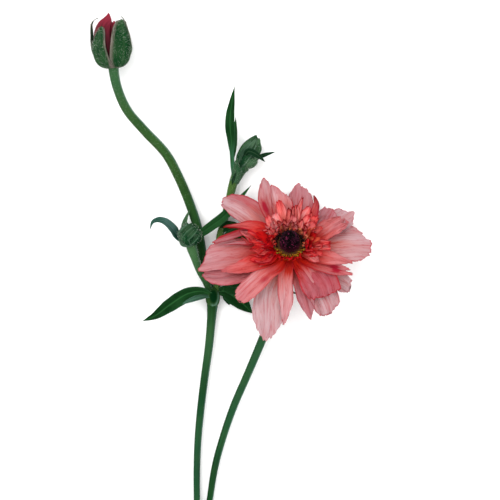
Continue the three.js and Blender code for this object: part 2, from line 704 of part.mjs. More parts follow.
// Assembly: each piece is cut clear of the stem that carries it, and flat where it rests on the surface.
const SURFACE_SPAN = 400;
const surface = toSolid(
  new THREE.BoxGeometry(SURFACE_SPAN, SURFACE_SPAN, SURFACE_SPAN).translate(0, 0, -SURFACE_SPAN / 2),
);
const stemWithClearance = floweringStem(CLEARANCE);
const offStem = (solid) => largestBody(solid.subtract(stemWithClearance));

const NODES = {
  flowering_stem: [floweringStem(), COLOURS.stem],
  bloom_sepals: [offStem(bloomSepals()), COLOURS.sepal],
  bloom_outer_petals: [
    join([rootRing(-1.1, 0, 6.6), ...OUTER_PETALS.map((petal) => petalSolid(petal, 6, 5))]),
    COLOURS.outerPetal,
  ],
  bloom_middle_petals: [
    join([rootRing(0.8, 1.8, 6.6), ...MIDDLE_PETALS.map((petal) => petalSolid(petal, 5, 4))]),
    COLOURS.middlePetal,
  ],
  bloom_inner_petaloids: [
    join([
      rootRing(2.9, 3.7, 7.4),
      ...TIER_PETALOIDS.map((petal) => petalSolid(petal, 4, 2)),
      ...PETALOID_RINGS.flatMap(petaloidRing).map((petal) => petalSolid(petal, 3, 2)),
    ]),
    COLOURS.innerPetal,
  ],
  bloom_stamens: [stamens(), COLOURS.stamen],
  bloom_carpel_head: [carpelHead(), COLOURS.carpel],
  top_bud_sepals: [offStem(topBudSepals()), COLOURS.sepal],
  top_bud_petals: [topBudPetals(), COLOURS.budPetal],
  left_small_bud: [offStem(leftSmallBud()), COLOURS.sepal],
  right_small_bud: [offStem(rightSmallBud()), COLOURS.sepal],
};
for (const [name, blades] of Object.entries(LEAVES)) {
  NODES[name] = [offStem(join(blades.map(leafBlade))), COLOURS.leaf];
}

const flower = new THREE.Group();
flower.position.x = -MIDDLE;
for (const [name, [solid, [color, roughness]]] of Object.entries(NODES)) {
  const material = new THREE.MeshStandardMaterial({ color, roughness, metalness: 0 });
  const mesh = new THREE.Mesh(toGeometry(solid.subtract(surface)), material);
  mesh.name = name;
  flower.add(mesh);
}

export default flower;
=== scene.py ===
import math
from types import SimpleNamespace

import bpy
import numpy as np
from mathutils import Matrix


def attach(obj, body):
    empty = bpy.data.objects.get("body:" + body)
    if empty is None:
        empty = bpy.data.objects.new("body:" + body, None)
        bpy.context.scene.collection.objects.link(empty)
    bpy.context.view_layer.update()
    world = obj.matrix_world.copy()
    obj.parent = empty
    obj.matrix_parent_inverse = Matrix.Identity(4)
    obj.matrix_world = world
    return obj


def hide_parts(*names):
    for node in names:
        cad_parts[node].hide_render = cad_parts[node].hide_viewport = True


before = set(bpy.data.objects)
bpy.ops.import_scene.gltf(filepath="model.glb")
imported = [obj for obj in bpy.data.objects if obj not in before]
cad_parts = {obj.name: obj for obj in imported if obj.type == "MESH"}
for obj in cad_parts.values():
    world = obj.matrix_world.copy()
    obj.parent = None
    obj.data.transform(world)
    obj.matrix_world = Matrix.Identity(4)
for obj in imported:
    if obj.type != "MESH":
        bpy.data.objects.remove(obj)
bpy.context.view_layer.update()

# Shapes are worked out in millimetres, as in the part, before its middle is moved to the origin.
MM = 0.001
MIDDLE = 0.47
LOWEST = 0.02  # height of the lowest point of any piece
BLOOM_CENTRE = np.array([25.5, 25.5, 23.4])
TILT = math.radians(26)  # how far the bloom leans, towards the photograph's top
TILT_COS, TILT_SIN = math.cos(TILT), math.sin(TILT)
CORE_RADIUS = 4.3
CORE_TOP = 4.4
CLEARANCE = 0.35
BUD_BASE = np.array([-51.1, 103.9, 8.3])
BUD_TIP = np.array([-52.9, 129.4, 9.0])
UP = np.array([0.0, 0.0, 1.0])

# The photograph's frame: its middle on the surface, its width and the camera's height over the surface.
VIEW_CENTRE = (8.13, 24.9)
VIEW_WIDTH = 220
VIEW_HEIGHT = 900
SENSOR = 36

# The light whitens the floor, as in the photograph, so the flower's own colours are this much deeper.
DYE = 0.74

# What a material can read at each point of a piece.
VALUES = ("along", "across", "rim", "pale", "rose", "blush", "edge", "dark", "light", "own", "near")

# Where the draws of each kind of part start.
SEEDS = dict(
    outer=10, middle=40, leaf=60, petaloid=80.3, hook=160.7, top_sepal=200, top_petal=220, left_bud=240, left_fold=246,
    right_bud=250, bract=260, hood=264, leaflet=270, hood_fold=275, carpel=300.3, crowd=300.9, stamen=500,
    bloom_sepal=700, carpel_tone=900, hair=2000,
)


# Numbers

def chance(seed):
    x = math.sin(seed * 127.1 + 11.7) * 43758.5453
    return x - math.floor(x)


def between(low, high, seed):
    return low + (high - low) * chance(seed)


def drawer(seed):
    """Draws between two numbers, each at its own offset from one seed."""
    return lambda low, high, offset=0: between(low, high, seed + offset)


def chances(count, seed, step=1):
    return np.array([chance(seed + i * step) for i in range(count)])


def lerp(a, b, share):
    return a + (b - a) * share


def smooth_at(values, share):
    """A value read from a list at a share of the way along it, on a smooth curve through the list."""
    values = np.asarray(values, float)
    last = len(values) - 1
    place = np.clip(share, 0, 1) * last
    i = np.minimum(np.floor(place).astype(int), last - 1)
    f = place - i
    a, b, c, d = (values[np.clip(i + k, 0, last)] for k in (-1, 0, 1, 2))
    return b + 0.5 * f * (c - a + f * (2 * a - 5 * b + 4 * c - d + f * (3 * (b - c) + d - a)))


def wobble(u, v, seed, waves=4):
    """A smooth, repeatable unevenness from about -1 to 1 over two coordinates."""
    total = 0.0
    for k in range(waves):
        turn = 2 * math.pi * chance(seed * 3.7 + k)
        pace = 0.7 + 0.8 * k
        total = total + np.sin(pace * (u * math.cos(turn) + v * math.sin(turn)) * 2
                               + 2 * math.pi * chance(seed * 5.3 + k + 0.5)) / (1 + 0.55 * k)
    return total / 1.9


def unit(vectors):
    return vectors / np.maximum(np.linalg.norm(vectors, axis=-1, keepdims=True), 1e-9)


def turned(first, second, angle):
    """Two directions at right angles, turned in their plane by an angle or a grid of angles."""
    angle = np.asarray(angle)[..., None]
    return first * np.cos(angle) + second * np.sin(angle), second * np.cos(angle) - first * np.sin(angle)


def full_turns(count):
    return np.linspace(0, 2 * math.pi, count, endpoint=False)


def grid_of(*sides):
    """A grid of points from the grids of their sides, any of which may be one row or one column."""
    return np.stack(np.broadcast_arrays(*sides), -1)


# Pieces

SHARP = math.radians(55)
CURVE_STEPS = 60
THINNEST = 0.02  # a turned shape's radius at its ends
HAIR_SHADE = 1  # hairs take a piece's second material


def put(name, data):
    thing = bpy.data.objects.new(name, data)
    bpy.context.scene.collection.objects.link(thing)
    return thing


class Piece:
    """Collects closed shapes in part millimetres for one Blender object that stands for one node."""

    def __init__(self, name, node, slot):
        self.name, self.node, self.slot = name, node, slot
        self.points, self.faces, self.shades, self.grain = [], [], [], []
        self.values = {key: [] for key in VALUES}
        self.count = 0

    def add(self, points, faces, shade=0, grain=None, **values):
        """Adds a grid of points. Grain and values are given for each point, or for rows, columns or all at once."""
        points = np.asarray(points, float)
        shape = points.shape[:-1]
        sides = grain or (points[..., 0], points[..., 1])
        self.faces += [[corner + self.count for corner in face] for face in faces]
        self.shades += [shade] * len(faces)
        self.points.append(points.reshape(-1, 3))
        self.grain.append(np.stack([np.broadcast_to(side, shape) for side in sides], -1).reshape(-1, 2))
        for key in VALUES:
            self.values[key].append(np.broadcast_to(values.get(key, 0.0), shape).reshape(-1))
        self.count += len(self.points[-1])

    def build(self, *materials):
        points = np.vstack(self.points)
        points[:, 0] -= MIDDLE
        points[:, 2] = np.maximum(points[:, 2], LOWEST)
        mesh = bpy.data.meshes.new(self.name)
        mesh.from_pydata((points * MM).tolist(), [], self.faces)
        for key in VALUES:
            attribute = mesh.attributes.new(key, "FLOAT", "POINT")
            attribute.data.foreach_set("value", np.concatenate(self.values[key]).astype(np.float32))
        corners = np.empty(len(mesh.loops), int)
        mesh.loops.foreach_get("vertex_index", corners)
        layer = mesh.uv_layers.new(name="grain")
        layer.data.foreach_set("uv", np.vstack(self.grain)[corners].astype(np.float32).reshape(-1))
        mesh.polygons.foreach_set("material_index", np.array(self.shades, dtype=np.int32))
        for material in materials:
            mesh.materials.append(material)
        mesh.shade_smooth()
        mesh.set_sharp_from_angle(angle=SHARP)
        mesh.update()
        piece = put(self.name, mesh)
        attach(piece, "root")
        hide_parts(self.node)


def sheet_grid(rows, columns):
    """The places along a sheet, from 0 to 1, and across it, from -1 to 1."""
    return np.linspace(0, 1, rows + 1)[:, None], np.linspace(-1, 1, columns + 1)


def sheet_faces(rows, columns):
    """Faces of a closed blade: the grid on top, the alike grid under it, and the walls between them."""
    under = rows * columns
    faces = [(corner, corner + columns, corner + columns + 1, corner + 1)
             for i in range(rows - 1) for corner in range(i * columns, (i + 1) * columns - 1)]
    faces += [tuple(corner + under for corner in reversed(face)) for face in faces]
    ring = list(range(0, under, columns)) + list(range(under - columns + 1, under))
    ring += list(range(under - columns - 1, 0, -columns)) + list(range(columns - 2, 0, -1))
    return faces + [(b, a, a + under, b + under) for a, b in zip(ring, ring[1:] + ring[:1])]


def ring_faces(rings, sides, looped=False):
    """Faces of a tube of rings, with its two ends closed, or joined where it is looped."""
    def corner(i, k):
        return i % rings * sides + k % sides

    faces = [(corner(i, k), corner(i, k + 1), corner(i + 1, k + 1), corner(i + 1, k))
             for i in range(rings if looped else rings - 1) for k in range(sides)]
    ends = [tuple(reversed(range(sides))), tuple(range((rings - 1) * sides, rings * sides))]
    return faces if looped else faces + ends


class Curve:
    """A centripetal Catmull-Rom curve through stations, read by the share of its length."""

    def __init__(self, stations):
        self.stations = np.array(stations, float)
        p = self.stations[:, :3]
        p = np.vstack([2 * p[0] - p[1], p, 2 * p[-1] - p[-2]])
        spots, marks = [], []
        for i in range(1, len(p) - 2):
            p0, p1, p2, p3 = p[i - 1:i + 3]
            d0, d1, d2 = (max(np.linalg.norm(b - a), 1e-6) ** 0.5 for a, b in ((p0, p1), (p1, p2), (p2, p3)))
            t1 = ((p1 - p0) / d0 - (p2 - p0) / (d0 + d1) + (p2 - p1) / d1) * d1
            t2 = ((p2 - p1) / d1 - (p3 - p1) / (d1 + d2) + (p3 - p2) / d2) * d1
            f = np.linspace(0, 1, CURVE_STEPS, endpoint=(i == len(p) - 3))[:, None]
            spots.append(p1 + t1 * f + (3 * (p2 - p1) - 2 * t1 - t2) * f ** 2 + (2 * (p1 - p2) + t1 + t2) * f ** 3)
            marks.append((i - 1 + f[:, 0]) / (len(p) - 3))
        self.spots, self.marks = np.vstack(spots), np.concatenate(marks)
        steps = np.linalg.norm(np.diff(self.spots, axis=0), axis=1)
        self.reach = np.concatenate([[0], np.cumsum(steps)])
        self.length = self.reach[-1]

    def at(self, shares):
        place = shares * self.length
        return np.stack([np.interp(place, self.reach, side) for side in self.spots.T], axis=-1)

    def along(self, shares):
        return unit(self.at(np.minimum(shares + 0.004, 1)) - self.at(np.maximum(shares - 0.004, 0)))

    def radius(self, shares):
        marks = np.interp(shares * self.length, self.reach, self.marks)
        return smooth_at(self.stations[:, 3], marks)[:, None]


def carried_normals(along):
    """Directions across a curve that turn as little as they can from one point to the next."""
    normals = [unit(np.cross(along[0], UP))]
    for direction in along[1:]:
        normals.append(unit(normals[-1] - direction * np.dot(normals[-1], direction)))
    return np.array(normals)


STEM_RIBS = 6


def add_tube(piece, stations, step, sides, ribs=0, light=(0, 0), cool=(0, 0), side_highlight=0, **values):
    """A tapering tube through stations of [x, y, z, radius], with a painted highlight along one side."""
    curve = Curve(stations)
    count = max(2, round(curve.length / step))
    shares, turns = np.linspace(0, 1, count + 1), full_turns(sides)
    along = curve.along(shares)
    first = carried_normals(along)
    spokes, _ = turned(first[:, None], np.cross(along, first)[:, None], turns)
    swell = 1 + ribs * (np.cos(STEM_RIBS * turns) + 0.4 * wobble(shares[:, None] * 9, turns, 3))
    piece.add(
        curve.at(shares)[:, None] + spokes * (curve.radius(shares) * swell)[..., None], ring_faces(count + 1, sides),
        grain=(turns * 1.6, shares[:, None] * curve.length), along=shares[:, None],
        light=smooth_at(light, shares)[:, None], rose=smooth_at(cool, shares)[:, None],
        # The rim value here is a painted highlight along one side of the tube.
        rim=side_highlight * np.clip(3 * np.cos(turns) - 2, 0, 1), **values,
    )


def add_spikes(piece, roots, directions, length, radius):
    """Fine hairs: thin three-sided spikes."""
    directions = unit(directions)
    first = unit(np.cross(directions, (0.31, 0.55, 0.77)))
    second = np.cross(directions, first)
    corners = [roots + radius * turned(first, second, angle)[0] for angle in full_turns(3)]
    points = np.stack(corners + [roots + directions * length[:, None]], axis=1)
    sides = ((0, 1, 3), (1, 2, 3), (2, 0, 3), (2, 1, 0))
    faces = [[4 * i + corner for corner in side] for i in range(len(roots)) for side in sides]
    piece.add(points, faces, HAIR_SHADE)


def add_lathe(piece, profile, sides, place, rows=0, **values):
    """A closed shape turned about its axis, from [radius, height] points, put in place by a function."""
    profile = np.asarray(profile, float)
    if rows:
        profile = np.stack([smooth_at(side, np.linspace(0, 1, rows)) for side in profile.T], -1)
    radius, height = np.maximum(profile[:, :1], THINNEST), profile[:, 1:]
    turns = full_turns(sides)
    points = grid_of(radius * np.cos(turns), radius * np.sin(turns), height)
    piece.add(place(points), ring_faces(len(profile), sides), grain=(radius * turns, height),
              along=np.linspace(0, 1, len(profile))[:, None], **values)


def in_frame(origin, right, up, out):
    """A function that takes points from a frame of its own to the part's."""
    return lambda points: origin + np.asarray(points, float) @ np.array([right, up, out])


# The bloom's own frame: right and up in its plane, and out along its axis.
in_bloom = in_frame(BLOOM_CENTRE, (1, 0, 0), (0, TILT_COS, -TILT_SIN), (0, TILT_SIN, TILT_COS))


# Petals

PETAL = dict(
    root=5.2, left=None, widest=0.8, power=2, teeth=0.03, cup=0.9, ruffle=0.5, tip_at=0, pleat=0.16, pleats=4, fold=0,
    rag=0.012, curl=0, twist=0, sway=0, arch=0, notches=(), blots=(), rose=0, dark=0, tan=0, heat=1, thick=0.3, ahead=0,
)
BUNCHED = 1.35  # how closely a petal's columns lie together at its sides
CURL_FROM = 0.55
RIM = 0.45
RED_HALF = (19, 9.8)  # half of the red oval round the head
RED_REACH = 1.35
PETAL_LOWEST = np.array([0.25, LOWEST])[:, None, None]  # heights of a petal's two faces where it lies down


def seen_spot(right, up, out):
    """The point this far out of the bloom's plane that is seen from above at a place.

    The place is given in millimetres from the bloom's middle, at the middle's own height."""
    middle = BLOOM_CENTRE[:2] - VIEW_CENTRE - (MIDDLE, 0)
    y = up
    for _ in range(4):
        across = (y - out * TILT_SIN) / TILT_COS
        height = BLOOM_CENTRE[2] - across * TILT_SIN + out * TILT_COS
        x, y = (middle + (right, up)) * (VIEW_HEIGHT - height) / (VIEW_HEIGHT - BLOOM_CENTRE[2]) - middle
    return np.array([x, (y - out * TILT_SIN) / TILT_COS, out])


def petal_curve(petal):
    """A petal's centre line in the bloom's frame, from the core out through its stations."""
    stations = [seen_spot(*spot) for spot in petal.spine]
    azimuth = math.atan2(stations[0][1], stations[0][0])
    root = np.array([petal.root * math.cos(azimuth), petal.root * math.sin(azimuth), petal.rise])
    if len(stations) == 1:
        along = stations[0] - root
        across = np.array([-along[1], along[0], 0]) * petal.sway
        stations.insert(0, root + along * 0.5 + across + UP * petal.arch)
    return Curve([root] + stations)


def petal_width(petal, s, t):
    if petal.left:
        return np.where(t > 0, smooth_at(petal.left, s), smooth_at(petal.right, s))
    opening = np.sin(np.minimum(1, s / petal.widest) * math.pi / 2) ** 1.2
    closing = np.maximum(0, (s - petal.widest) / (1 - petal.widest))
    return petal.half * (petal.claw + (1 - petal.claw) * opening) * (1 - 0.25 * closing ** 2)


def petal_end(petal, t):
    """How far out the rim lies for a place across the petal, with its teeth, notches and ragged line."""
    tooth_at = np.arange(-6, 7)
    tooth = [between(-1, 1, petal.seed * 7.3 + k * 1.7) for k in tooth_at]
    off = np.where(t > petal.tip_at, (t - petal.tip_at) / (1 - petal.tip_at), (petal.tip_at - t) / (1 + petal.tip_at))
    end = 1 - petal.drop * off ** petal.power + petal.teeth * np.interp(t * 6, tooth_at, tooth) * (1 - t ** 4)
    end = end + petal.rag * wobble(t * 19, 0, petal.seed, 5) * (1 - t ** 6)
    for place, depth, width in petal.notches:
        end = end - depth * np.maximum(0, 1 - np.abs(t - place) / width)
    return end


def add_petal(piece, settings):
    """A thin petal along its curve: s runs from root to tip and t from side to side."""
    petal = SimpleNamespace(**{**PETAL, **settings})
    curve = petal_curve(petal)
    seed, length = petal.seed, curve.length
    rows, columns = petal.size
    s, t = sheet_grid(rows, columns)
    t = np.sin(BUNCHED * t) / math.sin(BUNCHED)
    end = petal_end(petal, t)
    share = s * lerp(1, end, s)
    straight = np.minimum(share, CURL_FROM) if petal.curl else share
    spot, along = curve.at(straight), curve.along(straight)
    sideways = unit(np.cross(UP, along))
    normal = np.cross(along, sideways)
    if petal.curl:
        curl = math.radians(petal.curl)
        bent, outward = turned(along, normal, curl * (share - straight) / (1 - CURL_FROM))
        spot = spot + (1 - CURL_FROM) * length / curl * (normal - outward)
        along, normal = bent, outward
    seen = np.hypot(sideways[..., 0], sideways[..., 1] * TILT_COS)
    width = petal_width(petal, s, t) / np.maximum(seen, 0.6)
    width = width * (1 + 1.3 * petal.rag * wobble(s * 12, np.sign(t), seed + 0.3, 5) * s)

    # How far each point is lifted from the curve: cup, ruffle, fold, creases, frilled rim and unevenness.
    wave = np.sin(2 * math.pi * t + seed * 2.1 + 2.5 * s)
    bow = petal.cup * t ** 2 * width / (width.max() * 0.75) + petal.ruffle * wave * s ** 1.5
    bow = bow + petal.fold * (1 - np.abs(t)) * np.sin(np.minimum(s, 0.9) * math.pi / 0.9) ** 0.7
    creases = wobble(t * petal.pleats * 1.5, s * 1.2, seed + 0.7) * (0.35 + 0.65 * s)
    frill = 0.5 * (np.abs(t) ** 5 + s ** 6) * wobble(t * 14, s * 16, seed + 0.9, 5)
    uneven = 0.8 * wobble(t * 6, s * 5, seed + 1.3, 5) * (0.3 + 0.7 * s)
    bow = bow + petal.pleat * (creases + frill + uneven)
    sideways, normal = turned(sideways, normal, np.radians(petal.twist * s))
    centre = spot + sideways * (width * t)[..., None] + normal * bow[..., None]

    inset = np.minimum(width * (1 - np.abs(t)), (np.maximum(end, 0.05) - share) * length)
    rim = np.exp(-np.maximum(inset, 0) / RIM)
    half = petal.thick / 2 * (1 - 0.6 * rim) * (1 + 0.8 * (1 - s) ** 3)
    points = in_bloom(np.stack([centre + normal * half[..., None], centre - normal * half[..., None]]))
    points[..., 2] = np.maximum(points[..., 2], PETAL_LOWEST)
    near = np.clip(RED_REACH - np.hypot((centre[..., 0] + 2) / RED_HALF[0], centre[..., 1] / RED_HALF[1]), 0, 1)
    blush = 0.0
    for at_s, at_t, long, wide, strength in petal.blots:
        fuzz = 1 + 0.35 * wobble(s * 24, t * 8, seed + 1.9)
        blush = np.maximum(blush, strength * np.exp(-(((s - at_s) / long) ** 2 + ((t - at_t) / wide) ** 2) * fuzz))
    piece.add(
        points, sheet_faces(rows + 1, columns + 1), grain=(width * t + 17 * seed % 40, s * length),
        along=s + petal.ahead * s * (1 - s) * 4, across=t, rim=rim, blush=blush, pale=petal.pale, rose=petal.rose,
        edge=petal.edge, dark=petal.dark, light=petal.tan, near=petal.heat * near,
    )


def add_root_ring(piece, low, high, outer, **values):
    """A flat ring round the core that holds the roots of a piece's petals together."""
    sides, inner = 40, CORE_RADIUS + 0.05
    profile = [[inner, low], [outer, low], [outer, high], [inner, high]]
    points = [[r * math.cos(a), r * math.sin(a), h] for r, h in profile for a in full_turns(sides)]
    piece.add(in_bloom(points), ring_faces(len(profile), sides, looped=True), **values)


# A petal's row: stations along it, as right and up of the bloom's middle as seen from above and out of the bloom's
# plane; half widths from root to tip at its left and at its right, looked at from the root; how much its end drops to
# the sides, and the power of that; pale, rose and edge; and what else differs from PETAL.
PETAL_COLUMNS = ("spine", "left", "right", "drop", "power", "pale", "rose", "edge")

OUTER_PETALS = [
    ([(-4, -8.3, -1.6), (-7.4, -14.7, -5.2), (-9, -22, -9.3), (-9.2, -29.7, -13.5), (-10, -40, -19)],
     [2.2, 3.5, 5.2, 6.6, 6.9, 6.6], [2.2, 3.2, 4.4, 6.2, 6.8, 6.4], 0.25, 1.3, 1, 0, 0.2, dict(heat=0.2, cup=0.4,
     teeth=0.02, rag=0.016, pleat=0.3, ahead=0.2, blots=[(0.95, 0, 0.2, 1, 0.15)])),
    ([(4.5, -7.8, -2.8), (9, -15.6, -6.5), (13.1, -22.9, -10.5), (15.4, -29, -14)], [2, 5, 7.4, 8.6, 7.8],
     [2, 2.6, 3.2, 3.6, 3.6], 0.14, 2.4, 0.8, 0.15, 0.6, dict(teeth=0.02, rag=0.012, rise=-1.4, pleat=0.6, pleats=5)),
    ([(2.6, -8.3, -2.2), (4.5, -15.6, -5.4), (7.1, -22.9, -9.2), (9.5, -30.4, -13.4)], [2, 3, 4, 4.4, 3.4],
     [2, 3, 2.8, 3.4, 3], 0.26, 1.35, 0.55, 0.6, 0.6, dict(teeth=0.012, tip_at=-0.1, pleat=0.3)),
    ([(5.8, -5.7, -2), (13.1, -10, -5), (19.5, -13.9, -8), (25.9, -18.1, -11.5)], [2, 4, 5.6, 6.2, 5.4],
     [2, 3, 3.4, 3.4, 3], 0.16, 2.2, 1, 0, 0.5, dict(pleat=0.35, pleats=5)),
    ([(5.4, -0.6, -0.5), (14, 0.7, -2.5), (23.8, 1.5, -6), (35.5, 1.3, -11.5)], [3, 5.8, 7.8, 8.2, 7.6],
     [3, 5.8, 7.6, 8, 7.4], 0.24, 1.5, 0.8, 0.05, 0.8, dict(fold=0.5, rag=0.03, teeth=0.03)),
    ([(8, 3.7, -0.5), (17, 9.6, -3.4), (27.2, 16.1, -8)], [2.5, 3.8, 4.8, 5, 4.4], [2.5, 4.2, 5.6, 6.2, 5.6], 0.19,
     1.15, 1, 0.3, 0.5, dict(teeth=0.03, rise=-1)),
    ([(6.2, 3.7, 0.3), (10.5, 8.4, -1), (14, 12.7, -2.5), (16.7, 17.5, -5)], [2, 2.8, 3.6, 3.9, 3.4],
     [2, 3.8, 5.6, 6.8, 6.2], 0.2, 1.7, 0.35, 0.55, 0.6, dict(teeth=0.03, rag=0.016)),
    ([(2.2, 8, -0.5), (3.3, 14.4, -2.5), (4.4, 20.8, -5), (5, 27.5, -8.4)], [2.5, 4, 5.2, 5.8, 5],
     [2.5, 4, 5.4, 6.2, 5.4], 0.27, 2, 0.45, 0.4, 0.8, dict(tip_at=0.2, notches=[(0, 0.06, 0.14), (-0.7, 0.05, 0.15)],
     teeth=0.02, pleat=0.3)),
    ([(-6, 6.2, -0.3), (-11.7, 10.5, -0.8), (-17.7, 15.7, -1.8), (-23.3, 19.1, -3), (-28.7, 21.2, -4.5)],
     [3, 4.4, 5.4, 6.2, 6, 4.2], [3, 4.4, 5.3, 5.6, 5, 3.4], 0.1, 2.6, 0.8, 0, 0.9, dict(fold=0.5, rag=0.01,
     teeth=0.016, heat=0.4, blots=[(0.8, -0.7, 0.35, 0.6, 0.6)])),
    ([(-6.6, -3.6, -1.8), (-14.7, -7, -5), (-23, -9.8, -8.5), (-30.4, -11.4, -11), (-37.4, -11, -13.5)],
     [2, 3.4, 5.2, 5.6, 5, 3.8], [2, 4, 5, 5.5, 5, 4.4], 0.16, 1.8, 0.25, 0.25, 0.8, dict(rise=-1.2, rag=0.01,
     teeth=0.012, pleat=0.35)),
    ([(-6.6, -2.2, -0.8), (-14.7, -3.6, -3.2), (-23.3, -4.9, -6), (-31.8, -6.2, -9), (-39.2, -8.2, -13)],
     [2.5, 3.6, 4.2, 4, 3.8, 3.2], [3, 5.4, 7.8, 8.8, 8.6, 7.6], 0.2, 1.6, 0.4, 0.05, 0.8, dict(rag=0.01, teeth=0.012,
     fold=0.4, tip_at=0.35)),
]
MIDDLE_PETALS = [
    ([(-1.2, -7.4, 0.6), (-1.7, -13.4, -3.2), (-1.7, -22, -7.6), (-2.1, -27.1, -10.8), (-3, -32.6, -14)],
     [2.2, 3, 3.2, 3.3, 3.3, 2.2], [2.4, 3, 3.4, 3.4, 2.6, 1.6], 0.2, 1.6, 1, 0, 0.6, dict(tip_at=0.2, pleat=0.35,
     teeth=0.04, rag=0.04, cup=0.3, heat=0.6, ahead=0.15)),
    # This petal's rose tint is painted shadow, cast by the petals that lie above it.
    ([(4.4, -6, 0.6), (9.2, -10.6, -1.2), (12.6, -15.6, -4), (14.2, -21, -7.5)], [2, 5, 7.4, 8.6, 8.4],
     [2, 4.6, 7, 7.8, 6.4], 0.08, 2, 0.4, 0.75, 0.75, dict(tip_at=0.2, pleat=0.6, pleats=6, rag=0.03,
     blots=[(0.75, 0.5, 0.1, 0.2, 0.5), (0.55, -0.1, 0.15, 0.2, 0.3)])),
    ([(2.8, -6.6, 0.9), (5.8, -11, -0.4), (8, -15, -3.2), (9.6, -19.2, -6)], [2.2, 4.6, 6.4, 6.2, 5.2],
     [1.8, 1.9, 2.6, 3.2, 3.2], 0.1, 2.2, 0.5, 0.25, 0.4, dict(rag=0.03, pleat=0.4, cup=0.1)),
    ([(-4.8, -7.6, 1.2), (-9.2, -10.5, 0.5), (-14.2, -14.7, -1.5), (-18.6, -18.6, -4), (-22.2, -22.2, -7)],
     [2.4, 2.6, 3.2, 4, 4.1, 3.8], [3, 5, 5, 4.3, 4.2, 4], 0.13, 2.6, 0.55, 0, 0.35, dict(teeth=0.03, rag=0.03,
     pleat=0.3, blots=[(0.47, 0.4, 0.08, 0.35, 0.8), (0.3, 0, 0.1, 0.8, 0.3)], heat=0.7, ahead=0.1)),
    ([(-9, 2, 0.2), (-17, 2.4, 0), (-23, 2.5, -1.5), (-29, 1.7, -3.5)], [1.4, 1.2, 1, 0.9, 0.7],
     [1.4, 1.2, 1, 0.9, 0.7], 0.35, 2, 0.8, 0.6, 0.8, dict(cup=-0.4)),
    ([(-9, 5.4, 0.5), (-16, 7.2, 1), (-25.4, 4.6, -1.5), (-33, 2.3, -5)], [1.5, 1.5, 1.3, 1.4, 1.3],
     [1.5, 1.6, 1.5, 1.5, 1.3], 0.15, 2, 0.5, 0.7, 0.9, dict(cup=1.4, fold=-0.5)),
    ([(-6.4, -4, 1.3), (-13, -6.2, 0.6), (-21.1, -8.3, -1.5), (-29.4, -9.7, -5)], [2, 2.9, 3, 2.8, 2.2],
     [2, 3.4, 3.9, 3.4, 2.4], 0.28, 1.6, 0.2, 0, 0.35, dict(rag=0.04, pleat=0.3, heat=1.2)),
    ([(-7.4, 0.6, 2.6), (-12, 1.4, 2.2), (-17, 2.6, 1), (-20.8, 5.2, 0)], [2, 1.7, 1.5, 1.2, 0.7],
     [2, 1.7, 1.5, 1.2, 0.7], 0.35, 2, 0, 0, 1, dict(dark=0.4)),
    ([(-7.6, 2.6, 3.2), (-12, 4.6, 3.6), (-17, 6, 2.4), (-21.4, 7.4, 0.8)], [2.6, 4, 4.6, 3.8, 2],
     [2.6, 3.2, 3, 2.4, 1.4], 0.35, 2, 0.2, 0, 1, dict(fold=-0.7, pleat=0.4)),
    ([(-7.4, 4, 3.5), (-11.7, 8, 5), (-16.9, 9.9, 4.5), (-22, 9.8, 2.5), (-28.7, 9.3, -1)],
     [2.6, 3.6, 3.2, 2, 1.1, 0.7], [2.6, 3.3, 2.8, 1.9, 1.1, 0.7], 0.12, 1.2, 0.05, 0, 1, dict(dark=0.6, teeth=0.01,
     pleat=0.25)),
    ([(-4.4, 7.6, 1.6), (-7, 13.4, 1.5), (-9.4, 19, 0), (-10.3, 24.2, -3), (-10.9, 30.3, -7)],
     [2, 3, 3.8, 3.8, 3.2, 2.2], [2, 3.2, 4, 4, 3.4, 2.2], 0.16, 1.8, 1, 0.1, 0.8, dict(teeth=0.01,
     blots=[(0.46, 0.4, 0.12, 0.35, 1.4)], heat=0.5)),
    ([(-2, 8, 2), (-3.2, 13.5, 3), (-4.9, 20, 2.5), (-7, 27.8, 0)], [2, 3, 3.6, 3.4, 2.8], [2, 3.4, 5, 6, 5.8], 0.42,
     1.6, 1, 0, 0.9, dict(tip_at=0.35, rag=0.02, notches=[(-0.45, 0.04, 0.12)], teeth=0.015, heat=0.4,
     blots=[(0.95, 0.2, 0.12, 0.7, 0.35)], pleat=0.5)),
    ([(5, 7, 2.4), (8.8, 11.4, 3), (11, 16, 2.2), (11.6, 19.6, 0.5), (10.2, 23, -1)], [1.8, 2.2, 2.1, 1.9, 1.5, 0.9],
     [1.8, 2.1, 2, 1.7, 1.3, 0.8], 0.12, 1.3, 0.2, 0, 1, dict(dark=0.8, blots=[(0.75, -0.8, 0.3, 0.7, 0.9)])),
    ([(6.2, 1.6, 2.2), (12.2, 5.4, 1.8), (18.2, 9.4, 0), (23.9, 12.7, -2.5)], [2.2, 3.6, 4.2, 4, 3],
     [2.2, 3.2, 3.8, 4.2, 3.8], 0.16, 2, 0.55, 0, 0.35, dict(pleat=0.5, rag=0.06, teeth=0.08, tip_at=-0.4,
     blots=[(0.75, -0.2, 0.1, 0.3, 0.25)])),
    ([(5.6, -4.6, 1.2), (11.4, -6.6, 0.2), (18.2, -8.7, -2.5), (27.2, -10.5, -6.5)], [2, 2.6, 3, 3, 2.4],
     [2, 2.6, 3, 2.9, 2.2], 0.22, 1.4, 0.45, 0.2, 0.8, dict(teeth=0.07, rag=0.04, blots=[(0.7, 0.15, 0.1, 0.6, 1.6)])),
    ([(5.8, -2.4, 1.6), (11.4, -3.6, 1), (18.7, -4.7, -1), (27.7, -6.3, -4.5)], [2.2, 3.4, 3.6, 3, 1.7],
     [2.2, 3, 2.9, 2.3, 1.2], 0.22, 1.2, 0.5, 0, 0.5, {}),
]

